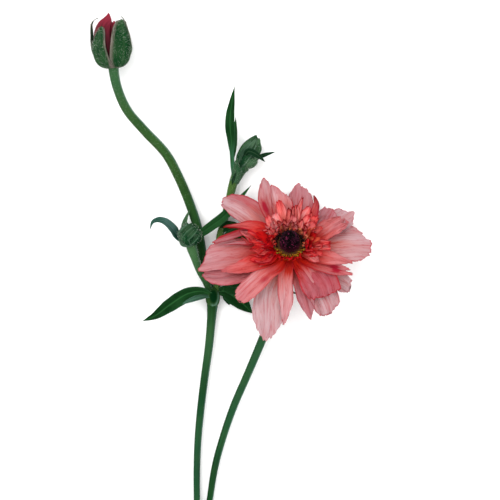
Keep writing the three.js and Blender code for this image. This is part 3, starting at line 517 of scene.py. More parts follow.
# The petaloids round the head: tip as seen from above, half width, out, curl, pale and dark.
PETALOIDS = [
    (-4.9, 20.8, 2.4, 6.5, 0, 0.9, 0.3), (6.2, 21.4, 1.6, 7, 10, 0.8, 0.9), (8.6, 18, 2.2, 5.6, 0, 0.8, 0.3),
    (3.2, 18.8, 1.8, 7, 0, 0.8, 0.2), (-6.4, 15.4, 2.4, 7.6, 0, 1, 0.1), (12.5, 13.3, 2.6, 5, 20, 0.5, 0.5),
    (-0.9, 18, 1.5, 8.4, 30, 1, 1), (1.4, 18.2, 1.2, 8.6, 30, 1, 1), (2.2, 14.6, 2, 9, 0, 0.7, 0.2),
    (8.4, 14.6, 2.1, 7, 0, 0.9, 0.3), (-9.6, 14, 2.2, 6.6, 10, 0.9, 0.1), (12.2, 10.4, 2.4, 6, 30, 0.4, 0.5),
    (-18.6, 7.8, 2.8, 4.2, 0, 0.2, 0.1), (-15, 6, 3, 5.4, 30, 0, 0.3), (-17.8, 3.4, 2.6, 3, 0, 0.35, 0.1),
    (-17.2, -0.6, 2.2, 2, 0, 0.25, 0.1), (-17.6, -5, 2.2, 1.4, 0, 0.2, 0.3), (-13.6, -7, 2.4, 1.6, 0, 0.1, 0.1),
    (12.4, 5.6, 2.4, 6, 40, 0.1, 0.6), (17.6, 2.2, 1.7, 2.4, 10, 0.5, 0.7), (17.8, 0.2, 1.8, 1.8, 0, 0.6, 0.1),
    (14.4, -2.4, 2.4, 2.4, 0, 0.4, 0.2), (12.6, -6, 2, 2, 20, 0.6, 0.6), (10.4, 1, 2.4, 5.8, 40, 0, 0.4),
    (-6.6, -2.6, 1.5, 8.4, 0, 0, 0.2), (-4.3, -4.2, 1.6, 9.4, 0, 0, 0.1), (-2.4, -4.2, 1.4, 10.8, 0, 0, 0),
    (-0.4, -4.6, 1.7, 12, 0, 0, 0.1), (1.9, -5, 1.3, 10.4, 0, 0, 0), (4.9, -3.7, 1.6, 9.8, 0, 0, 0.1),
]
CROWD = 90
CROWD_FROM, CROWD_SPAN = -28, 238
GOLDEN_SHARE = 0.618
HOOKS = 20
HOOKS_FROM, HOOKS_SPAN = -20, 220
FAR_LEFT = -10  # petaloids beyond this are drawn out to a point


def petals_of(rows, seed, **base):
    """The petals of a table, each with a seed of its own."""
    for i, (*columns, rest) in enumerate(rows):
        yield {**base, "seed": seed + i, **dict(zip(PETAL_COLUMNS, columns)), **rest}


def tip_spine(turn, reach, out):
    """One station, at a reach from the head and out of the bloom's plane."""
    return [(reach * math.cos(turn), reach * math.sin(turn) * TILT_COS + out * TILT_SIN, out)]


def crowd_petaloid(i):
    """One of the crowd round the head: broad and pale above it, folded at its right, long and pointed at its left."""
    seed = SEEDS["crowd"] + 1.3 * i
    draw = drawer(seed)
    turn = math.radians(CROWD_FROM + CROWD_SPAN * (i * GOLDEN_SHARE % 1))
    facing = math.sin(turn)
    inner = draw(0, 1, 0.1)
    reach = lerp(15.5, 8.8, inner) * draw(0.88, 1.1, 0.2)
    out = lerp(3, 8.8, inner) * draw(0.85, 1.15, 0.3)
    petal = dict(
        root=6.6, rise=3.6, claw=0.8, widest=0.6, cup=0.5, ruffle=0.3, pleat=0.15, seed=seed, size=(18, 8),
        half=draw(0.7, 1.4, 0.5), drop=draw(0.2, 0.5, 0.55), power=1.8, teeth=0.12, rag=0.05,
        tip_at=draw(-0.5, 0.5, 0.6), curl=draw(-20, 80, 0.65), arch=draw(0, 1.6, 0.75), twist=draw(-50, 50, 0.7),
        sway=draw(-0.35, 0.35, 0.8), thick=0.24, dark=draw(0, 0.8, 0.85), edge=draw(0.5, 1, 0.9),
    )
    if facing > 0.45:
        petal.update(half=draw(1.1, 2.1, 0.5), pale=draw(0.75, 1, 0.4), edge=0.6, heat=0.35,
                     dark=round(0.9 * draw(0, 1, 0.85)), twist=draw(-20, 20, 0.7))
    elif math.cos(turn) > 0:
        petal.update(pale=draw(0, 0.7, 0.4), dark=0.1 * petal["dark"])
        if facing > -0.1:
            petal["tan"] = inner * draw(0.1, 0.7, 0.95)
    else:
        long = round(draw(0, 1, 0.2))
        above = facing > 0
        reach, out = lerp(10, 16.5, long) * draw(0.85, 1.15, 0.25), lerp(6, 2.6, long)
        petal.update(
            half=draw(0.9, 1.7, 0.5), pale=long * draw(0.1, 0.9 if above else 0.6, 0.4), heat=1 - 0.7 * long, edge=1,
            dark=0.6, rose=0.7 if above else 0.2, curl=0, drop=0.55, power=1.3, pleat=0.45, twist=draw(-50, 50),
        )
    return dict(petal, spine=tip_spine(turn, reach, out))


def placed_petaloid(i, right, up, half, out, curl, pale, dark):
    seed = SEEDS["petaloid"] + 1.7 * i
    draw = drawer(seed)
    drop, power = (0.5, 1.5) if right < FAR_LEFT else (0.16 + 0.1 * draw(0, 1, 0.1), 2.4)
    return dict(
        spine=[(right, up, out)], half=half, root=6.6, rise=3 + 0.15 * (i % 3), claw=0.75, widest=0.6, drop=drop,
        power=power, curl=curl, twist=draw(-20, 20), arch=1, sway=draw(-0.1, 0.1, 0.3), cup=0.7, ruffle=0.35,
        teeth=0.07, rag=0.04, pleat=0.25, pleats=3, pale=pale, dark=dark, heat=1.2 - pale,
        edge=0.35 + 0.65 * dark if up > 0 else 0.15, seed=seed, size=(26, 18),
    )


def hooked_petaloid(i):
    seed = SEEDS["hook"] + i
    draw = drawer(seed)
    turn = math.radians(HOOKS_FROM + HOOKS_SPAN * (i + draw(-0.4, 0.4)) / HOOKS)
    redder = 1 - 0.8 * max(0, -math.cos(turn)) ** 2
    return dict(
        spine=tip_spine(turn, draw(6.6, 9.6, 0.1), draw(7.4, 9.8, 0.4)), root=6.2, rise=3.6, half=draw(0.5, 1, 0.2),
        claw=0.8, curl=draw(60, 170, 0.3), sway=draw(-0.4, 0.4, 0.5), drop=0.25, cup=0.4, ruffle=0.2, rag=0.05,
        arch=0.3, pale=draw(0.5, 1, 0.5) * redder, tan=draw(0, 1, 0.7) * redder,
        dark=draw(0.3, 0.9, 0.6) * (1 - 0.8 * max(0, math.cos(turn))), edge=0.5, heat=0.1, twist=draw(-50, 50, 0.8),
        seed=seed, size=(18, 8), thick=0.24,
    )


# Materials

class Paint:
    """A procedural material on a Principled shader, with short ways to add its nodes."""

    def __init__(self, name, **sockets):
        self.material = bpy.data.materials.new(name)
        self.material.use_nodes = True
        self.tree = self.material.node_tree
        self.shader = self.tree.nodes["Principled BSDF"]
        for key, value in sockets.items():
            self.shader.inputs[key.replace("_", " ")].default_value = value

    def node(self, kind, inputs=(), **settings):
        node = self.tree.nodes.new(kind)
        for key, value in settings.items():
            setattr(node, key, value)
        for key, value in dict(inputs).items():
            if isinstance(value, bpy.types.NodeSocket):
                self.tree.links.new(value, node.inputs[key])
            else:
                node.inputs[key].default_value = value
        return node

    def value(self, name):
        return self.node("ShaderNodeAttribute", attribute_name=name).outputs["Fac"]

    def math(self, operation, a, b=0.0, clamp=False):
        return self.node("ShaderNodeMath", {0: a, 1: b}, operation=operation, use_clamp=clamp).outputs[0]

    def times(self, a, b, clamp=False):
        return self.math("MULTIPLY", a, b, clamp)

    def plus(self, a, b):
        return self.math("ADD", a, b)

    def span(self, value, low, high, to_low=0.0, to_high=1.0):
        inputs = {"Value": value, "From Min": low, "From Max": high, "To Min": to_low, "To Max": to_high}
        return self.node("ShaderNodeMapRange", inputs).outputs["Result"]

    def spread(self, noise, low, high):
        """Noise, which mostly lies between 0.3 and 0.7, spread from low to high."""
        return self.span(noise, 0.3, 0.7, low, high)

    def sway(self, noise, reach):
        return self.spread(noise, -reach, reach)

    def grain_map(self):
        return self.node("ShaderNodeUVMap", uv_map="grain").outputs["UV"]

    def grain(self, across, along, *texture):
        """Noise drawn out along the piece, from its own coordinates in millimetres."""
        place = self.node("ShaderNodeMapping", {"Vector": self.grain_map(), "Scale": (across, along, 1)})
        return self.noise(place.outputs["Vector"], 1.0, *texture)

    def noise(self, vector, scale, detail=3.0, roughness=0.55, distortion=0.0):
        inputs = {"Vector": vector, "Scale": scale, "Detail": detail, "Roughness": roughness, "Distortion": distortion}
        return self.node("ShaderNodeTexNoise", inputs).outputs["Fac"]

    def object_place(self):
        return self.node("ShaderNodeTexCoord").outputs["Object"]

    def solid_noise(self, per_mm):
        return self.noise(self.object_place(), per_mm / MM)

    def ramp(self, value, stops):
        """Colours along a value, from stops of place, red, green and blue."""
        node = self.node("ShaderNodeValToRGB", {"Fac": value})
        elements = node.color_ramp.elements
        for _ in range(len(stops) - 2):
            elements.new(0.5)
        for element, (place, *colour) in zip(elements, stops):
            element.position = place
            element.color = (*(DYE * c for c in colour), 1)
        return node.outputs["Color"]

    def mix(self, share, a, b, blend="MIX"):
        node = self.node("ShaderNodeMix", data_type="RGBA", blend_type=blend)
        for socket, value in ((node.inputs["Factor"], share), (node.inputs[6], a), (node.inputs[7], b)):
            if isinstance(value, bpy.types.NodeSocket):
                self.tree.links.new(value, socket)
            elif isinstance(value, tuple):
                strength = DYE if blend == "MIX" else 1
                socket.default_value = (*(strength * c for c in value), 1)
            else:
                socket.default_value = value
        return node.outputs[2]

    def finish(self, colour, roughness=None, height=None, distance=0.1, strength=0.5):
        self.tree.links.new(colour, self.shader.inputs["Base Color"])
        if roughness is not None:
            self.tree.links.new(roughness, self.shader.inputs["Roughness"])
        if height is not None:
            bump = self.node("ShaderNodeBump", {"Height": height, "Distance": distance * MM, "Strength": strength})
            self.tree.links.new(bump.outputs["Normal"], self.shader.inputs["Normal"])
        return self.material


# Rose pink is a magenta tint: the petals' own colour on most petals, and painted shadow on the middle petal marked
# below.
ROSE_AND_SHADOW_PINK = (0.36, 0.075, 0.11)
VEIN_TINT = (0.84, 0.4, 0.42)
RED_VEIN_TINT = (0.5, 0.3, 0.3)
# The fold tint is painted shade in the petals' folds, and the ridge pink is a painted highlight on their ridges.
FOLD_SHADE_TINT = (0.92, 0.62, 0.6)
RIDGE_HIGHLIGHT_PINK = (0.62, 0.46, 0.48)
BLUSH_RED = (0.36, 0.008, 0.025)
TAN = (0.55, 0.22, 0.07)
TIP_RED = (0.2, 0.001, 0.004)


def petal_paint(name, deep, pale, rim, core, specular, dark_from=0.62):
    """Petals: colour that fades from the root out, redder near the head, streaked along fine veins, with a rim, a rose
    tint that is painted shadow on one petal, painted shade in broad folds and painted highlights on their ridges.
    """
    p = Paint(name, Roughness=0.6, Subsurface_Weight=0.1, Subsurface_Scale=0.001,
              Subsurface_Radius=(1.0, 0.45, 0.4), Specular_IOR_Level=specular)
    veins = p.grain(1.3, 0.07, 4.0, 0.6, 0.5)
    flames = p.grain(0.5, 0.05, 3.0, 0.6, 0.3)
    wash = p.grain(0.2, 0.06, 2.0, 0.5)
    along, paleness = p.value("along"), p.value("pale")
    shift = p.plus(p.sway(veins, 0.07), p.sway(wash, 0.08))
    shift = p.plus(shift, p.times(p.sway(flames, 0.2), p.span(along, 0.75, 0.25, 0.35, 1.0)))
    place = p.plus(along, shift)
    colour = p.mix(paleness, p.ramp(place, deep), p.ramp(place, pale))
    # Rose tint: the petal's own magenta, and painted shadow on the petal that is given it for the shade above it.
    rose = p.times(p.value("rose"), p.span(place, 0.2, 0.5))
    colour = p.mix(p.times(rose, 0.8), colour, ROSE_AND_SHADOW_PINK)
    threads = p.math("ABSOLUTE", p.math("SUBTRACT", p.grain(0.9, 0.06, 2.0, 0.45, 0.8), 0.5))
    threads = p.span(threads, 0.025, 0.0)
    streaks = p.times(p.math("MAXIMUM", threads, p.span(veins, 0.54, 0.64, 0.0, 0.8)), 0.85)
    colour = p.mix(streaks, colour, VEIN_TINT, "MULTIPLY")
    # Painted shade in darker bands along broad folds, and painted highlights on the ridges between them, towards the
    # tips of pale petals.
    fold_light_and_shade = p.grain(0.28, 0.035, 2.0, 0.5, 0.3)
    colour = p.mix(p.times(p.span(fold_light_and_shade, 0.5, 0.6), 0.5), colour, FOLD_SHADE_TINT, "MULTIPLY")
    ridge_highlights = p.times(p.span(fold_light_and_shade, 0.48, 0.38), p.span(along, 0.35, 0.7, 0.0, 0.35))
    colour = p.mix(p.times(ridge_highlights, paleness), colour, RIDGE_HIGHLIGHT_PINK)
    red = p.plus(p.value("near"), p.plus(p.sway(flames, 0.3), p.sway(veins, 0.1)))
    red = p.times(p.span(red, 0.25, 0.75), p.span(paleness, 0.0, 1.0, 1.0, 0.8))
    colour = p.mix(red, colour, core)
    colour = p.mix(p.times(streaks, red), colour, RED_VEIN_TINT, "MULTIPLY")
    edge = p.times(p.value("rim"), p.span(flames, 0.35, 0.6, 0.6, 1.4))
    colour = p.mix(p.times(p.span(edge, 0.2, 0.6), p.value("edge"), clamp=True), colour, rim)
    colour = p.mix(p.value("blush"), colour, BLUSH_RED)
    colour = p.mix(p.times(p.value("light"), 0.8), colour, TAN)
    tip = p.times(p.span(place, dark_from, 0.85), p.span(p.value("rim"), 0.1, 0.4, 0.1, 1.0))
    colour = p.mix(p.times(tip, p.value("dark"), clamp=True), colour, TIP_RED)
    height = p.plus(p.plus(veins, flames), p.times(threads, -0.25))
    return p.finish(colour, p.spread(veins, 0.5, 0.72), height, 0.2, 0.8)


OUTER_PAINT = petal_paint(
    "petal_pale",
    [(0, 0.28, 0.002, 0.001), (0.2, 0.42, 0.02, 0.015), (0.42, 0.52, 0.09, 0.09), (0.7, 0.52, 0.145, 0.16),
     (1, 0.49, 0.135, 0.155)],
    [(0, 0.3, 0.004, 0.002), (0.22, 0.46, 0.06, 0.04), (0.42, 0.56, 0.2, 0.18), (0.65, 0.54, 0.31, 0.315),
     (1, 0.53, 0.36, 0.38)],
    (0.38, 0.03, 0.05), (0.42, 0.01, 0.008), 0.08,
)
MIDDLE_PAINT = petal_paint(
    "petal_coral",
    [(0, 0.26, 0.001, 0.0002), (0.25, 0.38, 0.004, 0.002), (0.5, 0.5, 0.04, 0.035), (0.78, 0.54, 0.09, 0.09),
     (1, 0.5, 0.08, 0.09)],
    [(0, 0.28, 0.002, 0.0002), (0.22, 0.42, 0.02, 0.01), (0.45, 0.57, 0.15, 0.14), (0.75, 0.6, 0.28, 0.29),
     (1, 0.58, 0.28, 0.3)],
    (0.4, 0.006, 0.014), (0.68, 0.014, 0.004), 0.06,
)
PETALOID_PAINT = petal_paint(
    "petaloid_red",
    [(0, 0.24, 0.008, 0), (0.25, 0.36, 0.0005, 0), (0.6, 0.5, 0.003, 0.003), (0.85, 0.62, 0.012, 0.014),
     (1, 0.56, 0.006, 0.01)],
    [(0, 0.66, 0.14, 0.03), (0.2, 0.86, 0.19, 0.14), (0.5, 0.93, 0.25, 0.22), (0.8, 0.86, 0.19, 0.18),
     (1, 0.62, 0.05, 0.06)],
    (0.42, 0.002, 0.01), (0.52, 0.005, 0.005), 0.03, 0.5,
)

# The pale rim colour: pale margins on leaves and round the node's hollow, and a painted highlight along one side of
# each stem.
PALE_RIM_AND_HIGHLIGHT = (0.18, 0.34, 0.28)
BLUE_GREEN = (0.045, 0.145, 0.075)


def green_paint(name, base, light, dark, rough=(0.45, 0.7), vein=0, height=0.12, cloudy=0.5, rim=PALE_RIM_AND_HIGHLIGHT):
    """Stems, leaves and sepals: streaked greens, with a lighter midrib and margins where a piece has them, and on stems
    a painted highlight along one side in the rim colour.
    """
    p = Paint(name, Roughness=0.55, Specular_IOR_Level=0.02)
    streak = p.grain(1.2, 0.05, 4.0, 0.6)
    colour = p.mix(p.span(streak, 0.35, 0.68), dark, base)
    colour = p.mix(p.span(p.solid_noise(0.12), 0.4, 0.7, 0.0, cloudy), colour, light)
    colour = p.mix(p.times(p.value("light"), p.spread(streak, 0.75, 1.0)), colour, light)
    colour = p.mix(p.value("rose"), colour, BLUE_GREEN)
    colour = p.mix(p.value("dark"), colour, dark)
    if vein:
        off = p.math("ABSOLUTE", p.value("across"))
        lines = p.node("ShaderNodeTexWave", {
            "Vector": p.grain_map(), "Scale": 0.9, "Distortion": 2.2, "Detail": 2.0, "Detail Scale": 1.4,
        }, wave_type="BANDS", bands_direction="DIAGONAL").outputs["Fac"]
        side = p.times(p.span(lines, 0.72, 0.96), p.span(off, 0.08, 0.25))
        colour = p.mix(p.times(side, vein * 0.55), colour, light)
        colour = p.mix(p.times(p.span(off, 0.16, 0.04), vein), colour, light)
        streak = p.plus(streak, p.times(side, -0.8))
    colour = p.mix(p.times(p.value("rim"), p.span(streak, 0.35, 0.6, 0.2, 0.9)), colour, rim)
    return p.finish(colour, p.spread(streak, *rough), streak, height, 0.6)


STEM_PAINT = green_paint("stem_green", (0.002, 0.052, 0.012), (0.08, 0.16, 0.036), (0.0002, 0.022, 0.004), cloudy=0.15)
LEAF_PAINT = green_paint("leaf_green", (0.0002, 0.032, 0.004), (0.03, 0.13, 0.036), (0.0001, 0.012, 0.001),
                         vein=0.65, rough=(0.4, 0.6), cloudy=0.25)
BLUE_LEAF_PAINT = green_paint("leaf_blue_green", (0.022, 0.09, 0.06), (0.11, 0.2, 0.18), (0.002, 0.03, 0.016), vein=0.4)
SEPAL_PAINT = green_paint("sepal_green", (0.006, 0.066, 0.016), (0.08, 0.17, 0.07), (0.001, 0.02, 0.006),
                          vein=0.25, rough=(0.65, 0.9), height=0.25, cloudy=0.3, rim=(0.3, 0.22, 0.21))
SMALL_BUD_PAINT = green_paint("small_bud_green", (0.004, 0.06, 0.018), (0.09, 0.18, 0.09), (0.001, 0.02, 0.006),
                              vein=0.35, rough=(0.65, 0.9), height=0.25, rim=(0.2, 0.32, 0.24))


def hair_paint():
    p = Paint("hair_white", Roughness=0.6)
    return p.finish(p.ramp(p.solid_noise(0.6), [(0.3, 0.42, 0.5, 0.4), (0.7, 0.62, 0.66, 0.58)]))


def bud_petal_paint():
    p = Paint("bud_crimson", Roughness=0.6, Specular_IOR_Level=0.05, Subsurface_Weight=0.1, Subsurface_Scale=0.001)
    veins = p.grain(1.1, 0.06, 4.0)
    colour = p.ramp(p.plus(p.value("along"), p.sway(veins, 0.12)), [
        (0, 0.02, 0.002, 0.004), (0.35, 0.05, 0.005, 0.01), (0.7, 0.12, 0.01, 0.02), (1, 0.3, 0.018, 0.045)])
    colour = p.mix(p.times(p.span(veins, 0.5, 0.7), 0.5), colour, (0.17, 0.025, 0.035))
    return p.finish(colour, p.spread(veins, 0.5, 0.75), veins, 0.2, 0.7)


def carpel_paint():
    p = Paint("carpel_dark", Roughness=0.5, Specular_IOR_Level=0.03)
    colour = p.ramp(p.plus(p.value("own"), p.sway(p.solid_noise(0.8), 0.2)), [
        (0, 0.001, 0.0003, 0.0006), (0.55, 0.006, 0.0014, 0.003), (0.82, 0.035, 0.005, 0.016),
        (1, 0.12, 0.012, 0.04)])
    colour = p.mix(p.value("light"), colour, (0.13, 0.012, 0.03))
    return p.finish(colour, p.spread(p.solid_noise(3.0), 0.35, 0.6), p.solid_noise(4.0), 0.08, 0.5)


def stamen_paint():
    p = Paint("stamen_yellow", Roughness=0.6, Specular_IOR_Level=0.15)
    colour = p.ramp(p.plus(p.value("along"), p.sway(p.solid_noise(1.2), 0.1)), [
        (0, 0.6, 0.16, 0.003), (0.45, 0.62, 0.28, 0.01), (0.72, 0.42, 0.26, 0.01), (1, 0.2, 0.08, 0.006)])
    colour = p.mix(p.value("dark"), colour, (0.018, 0.006, 0.006))
    return p.finish(colour, p.spread(p.solid_noise(2.0), 0.5, 0.75), p.solid_noise(3.0), 0.1, 0.4)


HAIR_PAINT = hair_paint()
BUD_PETAL_PAINT = bud_petal_paint()
CARPEL_PAINT = carpel_paint()
STAMEN_PAINT = stamen_paint()


# The bloom

def build_petals(piece, ring, petals, paint):
    """One piece of the bloom: a ring round the core, as low, high and outer radius, and the petals on it."""
    add_root_ring(piece, *ring, along=0.05)
    for petal in petals:
        add_petal(piece, petal)
    piece.build(paint)


def build_bloom():
    outer = Piece("outer_petals", "bloom_outer_petals", "petal_pale")
    petals = petals_of(OUTER_PETALS, SEEDS["outer"], rise=-0.6, size=(48, 40))
    build_petals(outer, (-1.1, 0, 6.6), petals, OUTER_PAINT)
    middle = Piece("middle_petals", "bloom_middle_petals", "petal_coral")
    petals = petals_of(MIDDLE_PETALS, SEEDS["middle"], rise=1.3, ruffle=0.3, cup=0.7, size=(38, 26))
    build_petals(middle, (0.8, 1.8, 6.6), petals, MIDDLE_PAINT)
    inner = Piece("petaloids", "bloom_inner_petaloids", "petal_red")
    petals = [crowd_petaloid(i) for i in range(CROWD)]
    petals += [placed_petaloid(i, *row) for i, row in enumerate(PETALOIDS)]
    petals += [hooked_petaloid(i) for i in range(HOOKS)]
    build_petals(inner, (2.9, 3.7, 7.4), petals, PETALOID_PAINT)


# The first sepal's tip shows between two petals, and the bloom hides the others.
BLOOM_SEPALS = [
    (1.3, [(-0.4, -13, -11), (0.6, -18, -14), (4, -19.8, -15)]), (2.6, [(13, -9, -13)]), (2.6, [(11, 7, -13)]),
    (2.6, [(-8, 8, -13)]), (2.6, [(-14, -6, -13)]),
]


def build_sepals():
    green = Piece("bloom_sepals_green", "bloom_sepals", "sepal_green")
    for i, (half, spine) in enumerate(BLOOM_SEPALS):
        add_petal(green, dict(
            spine=spine, root=5.8, rise=-3.2, half=half, claw=0.75, widest=0.5, drop=0.5, power=1.4, teeth=0, cup=-0.6,
            ruffle=0.2, seed=SEEDS["bloom_sepal"] + i, thick=0.5, arch=2, pale=0, edge=0, size=(20, 12),
        ))
    add_lathe(green, [[5.0, -3.7], [6.5, -3.9], [6.8, -3.1], [5.5, -2.8]], 40, in_bloom)
    green.build(SEPAL_PAINT)


STAMENS = 60
STAMEN_ROOT = 4.3  # height at which stamens leave the core
FILAMENT = [(0, 0.2), (0.4, 0.17), (0.8, 0.15)]  # share of the length and radius
ANTHER = [(0.74, 0.12), (0.82, 0.34), (0.93, 0.36), (1.04, 0.12)]


def stamen_stations(part, turn, lean, length, root):
    for share, radius in part:
        reach, height = root + math.cos(lean) * length * share, STAMEN_ROOT + math.sin(lean) * length * share
        yield [*in_bloom([reach * math.cos(turn), reach * math.sin(turn), height]), radius]


def build_stamens():
    """Stamens all round the core: short, steep and dark above the head, and longer and yellow below it."""
    stamens = Piece("stamens", "bloom_stamens", "stamen_yellow")
    add_root_ring(stamens, 4.1, 4.7, 5.5, along=0.2, dark=0.85)
    for i in range(STAMENS):
        draw = drawer(SEEDS["stamen"] + i)
        turn = 2 * math.pi * (i + draw(-0.4, 0.4)) / STAMENS
        below = 0.5 - 0.5 * math.sin(turn)
        length = draw(1, 1.8, 30) + 3.2 * below ** 1.2
        lean = math.radians(lerp(draw(60, 85, 60), draw(36, 52, 60), below))
        stamen = turn, lean, length, draw(4.7, 5.4, 90)
        dark = 4.2 - 5 * below
        add_tube(stamens, list(stamen_stations(FILAMENT, *stamen)), length / 5, 5, dark=max(0, dark))
        add_tube(stamens, list(stamen_stations(ANTHER, *stamen)), length / 16, 6, dark=max(dark, draw(0, 1, 120)))
    stamens.build(STAMEN_PAINT)


HEAD_RADIUS = 4.15
HEAD_HEIGHT = 8.4
HEAD_BASE = CORE_TOP + CLEARANCE
HEAD_INSET = 0.3  # the smooth body under the carpels
CARPELS = 250
GOLDEN_ANGLE = 2.39996
CARPEL = [(-0.4, 0.8), (0.1, 1.0), (0.55, 0.72), (0.85, 0.3), (1.35, 0.06)]  # height and radius over its size


def build_carpels():
    head = Piece("carpel_head", "bloom_carpel_head", "carpel_dark")
    lifts = np.linspace(0, 0.96, 14) * math.pi / 2
    radius, height = HEAD_RADIUS - HEAD_INSET, HEAD_HEIGHT - HEAD_INSET
    profile = [radius * np.cos(lifts) ** 0.8, HEAD_BASE + height * np.sin(lifts)]
    add_lathe(head, np.transpose(profile), 36, in_bloom, own=0.3)
    ring = full_turns(7)
    for i in range(CARPELS):
        share = (i + 0.5) / CARPELS
        lift = math.asin(1 - share) * 0.985
        spoke = np.array([math.cos(i * GOLDEN_ANGLE), math.sin(i * GOLDEN_ANGLE), 0])
        centre = HEAD_RADIUS * math.cos(lift) ** 0.8 * spoke + (HEAD_BASE + HEAD_HEIGHT * math.sin(lift)) * UP
        out = unit(1.5 * math.cos(lift) * spoke + math.sin(lift) * UP)
        first = unit(np.cross(out, [0.2, 0.1, 1.0]))
        around, _ = turned(first, np.cross(out, first), ring)
        size = between(0.38, 0.5, SEEDS["carpel"] + i) * (1 if share < 0.9 else 0.9)
        points = [centre + out * size * height * 0.9 + size * radius * around for height, radius in CARPEL]
        head.add(in_bloom(points), ring_faces(len(CARPEL), len(ring)), own=chance(SEEDS["carpel_tone"] + i),
                 light=max(0, 0.8 * share ** 3 - 0.1))
    head.build(CARPEL_PAINT)


# Stems: stations are x, y, z and radius, and light and cool are read from base to tip.

NODE = [-7.7, 4.2, 3.8]
NODE_HALF = (3.2, 5, 3.5)
AXIL = (1.6, 3)
STEMS = [
    [[-13.9, -129.4, 1.85, 2.1], [-14.1, -124, 1.95, 2.05], [-14.2, -119, 2, 1.9]],
    [[-14, -121, 2, 1.6], [-14.5, -103, 2.2, 1.35], [-14.7, -85, 2.4, 1.35], [-14.7, -70, 2.6, 1.4],
     [-14.1, -57, 2.9, 1.5], [-12.8, -43.5, 3.1, 1.6], [-11.2, -30.4, 3.3, 1.65], [-9.4, -17.2, 3.5, 1.75],
     [-8.3, -5.3, 3.7, 1.9], [*NODE, 2.5]],
    [[-14.2, -121, 2, 1.6], [-11.8, -105, 2.3, 1.35], [-9.1, -85, 2.7, 1.35], [-6.7, -70, 3.1, 1.45],
     [-3.1, -56.8, 3.4, 1.5], [1.5, -43.6, 3.8, 1.6], [7.2, -30.4, 4.1, 1.65], [12.8, -17.2, 4.5, 1.75],
     [18.4, -3, 5.4, 1.8], [22.4, 9, 7.6, 1.85], [24.8, 17.6, 11.6, 1.95], [25.5, 21.9, 16, 2.2],
     [25.5, 23, 18.2, 2.6]],
    [[*NODE, 2.1], [-10.5, 13.2, 3.7, 1.9], [-12.5, 24.6, 3.4, 1.9], [-14.5, 35.2, 3.4, 1.95], [-18, 45.8, 3.5, 1.95],
     [-22.4, 56.3, 3.6, 1.95], [-28.1, 66.9, 3.9, 1.95], [-37.8, 77.4, 4.4, 1.95], [-45.1, 86, 5.4, 1.95],
     [-49, 94.6, 6.9, 1.95], [-50.6, 101.2, 8, 2.05], [-51, 105.8, 8.4, 2.2]],
    [[-8.6, 6, 4.4, 1.5], [-10.6, 11, 6.6, 1.55], [-13.2, 15.8, 8.2, 1.6], [-15.2, 21, 9.2, 1.7],
     [-16.7, 25.6, 9.8, 2.1], [-17.3, 28.6, 10.2, 2.4]],
    [[-6.4, 5.6, 3.8, 1.6], [-5.4, 15, 3.5, 1.5], [-5, 24, 3.3, 1.5], [-4.6, 31, 3.1, 1.5], [-3, 36.6, 3, 1.5],
     [-1.8, 42, 3, 1.5], [-0.5, 47.1, 3.3, 1.55], [0.7, 52, 3.9, 1.8], [2.2, 57, 4.6, 1.9], [3.8, 61.4, 5.1, 1.8]],
]
STEM_LIGHT = [
    [0, 0], [0, 0, 0, 0, 0.05, 0.2, 0.1], [0, 0.05, 0.15], [0, 0.1, 0.35, 0.35, 0.4], [0.1, 0.4, 1], [0.8, 0.9, 0.8],
]
STEM_COOL = [
    [0, 0], [0.2, 0.2, 0.25, 0.25, 0.1, 0.25, 0], [0, 0.05, 0.25, 0.3, 0.3], [0, 0, 0, 0, 0.1, 0.45], [0, 0.3, 0.5],
    [0, 0],
]
HAIRY = [(3, 9, 0.45), (4, 14, 0.8), (5, 14, 0.8)]  # stem, hairs a millimetre, and how much they gather at its base
RECEPTACLE = [[0, -6.6], [2.1, -6.4], [4.4, -4.4], [5.2, -2.6], [4.9, -1.7], [4.3, -1.5], [4.3, 4.4], [0, 4.4]]


def add_node(stem):
    """The swelling where the left stem branches, with a shallow hollow where a leaf sits, painted dark as shade, and a
    pale rim at its right and lower edge.
    """
    rings, sides = 40, 48
    turns, lifts = full_turns(sides), np.linspace(-math.pi / 2, math.pi / 2, rings)[:, None]
    right, along, up = (half * side for half, side in zip(
        NODE_HALF, (np.cos(lifts) * np.cos(turns), np.cos(lifts) * np.sin(turns), np.sin(lifts))))
    hollow = np.hypot((right - 0.3) / AXIL[0], (along - 0.4) / AXIL[1]) + 2 * (up < 0)
    points = NODE + grid_of(right, along, up - 0.5 * np.exp(-hollow ** 4))
    # The dark in the hollow is painted shade; the rim value gives a pale edge on the hollow's right and lower side.
    stem.add(points, ring_faces(rings, sides), light=0.3, dark=2 * np.clip(1.3 - hollow, 0, 0.5),
             rim=0.6 * np.exp(-((hollow - 1.35) / 0.2) ** 2) * np.clip(right / 2 - along / 4, 0, 1))


def build_stem():
    stem = Piece("stems", "flowering_stem", "stem_green")
    for stations, light, cool in zip(STEMS, STEM_LIGHT, STEM_COOL):
        # Each stem gets a painted highlight along one side.
        add_tube(stem, stations, 1.6, 24, ribs=0.04, light=light, cool=cool, side_highlight=0.6)
    add_lathe(stem, RECEPTACLE, 40, in_bloom, light=0.3)
    add_node(stem)
    for n, (which, per_mm, gather) in enumerate(HAIRY):
        curve = Curve(STEMS[which])
        count, seed = int(curve.length * per_mm), SEEDS["hair"] + 500 * n
        shares = chances(count, seed, 1.3) ** gather
        along = curve.along(shares)
        first = unit(np.cross(along, UP))
        out, _ = turned(first, np.cross(along, first), 2 * math.pi * chances(count, seed + 1000, 1.7))
        lengths = lerp(0.35, 0.9, chances(count, 2 * SEEDS["hair"]))
        add_spikes(stem, curve.at(shares) + out * (curve.radius(shares) - 0.05), out + 0.5 * along, lengths, 0.035)
    stem.build(STEM_PAINT, HAIR_PAINT)


# Leaves: half width, fold, width at the neck, roll at base and tip, the route, and what else differs.

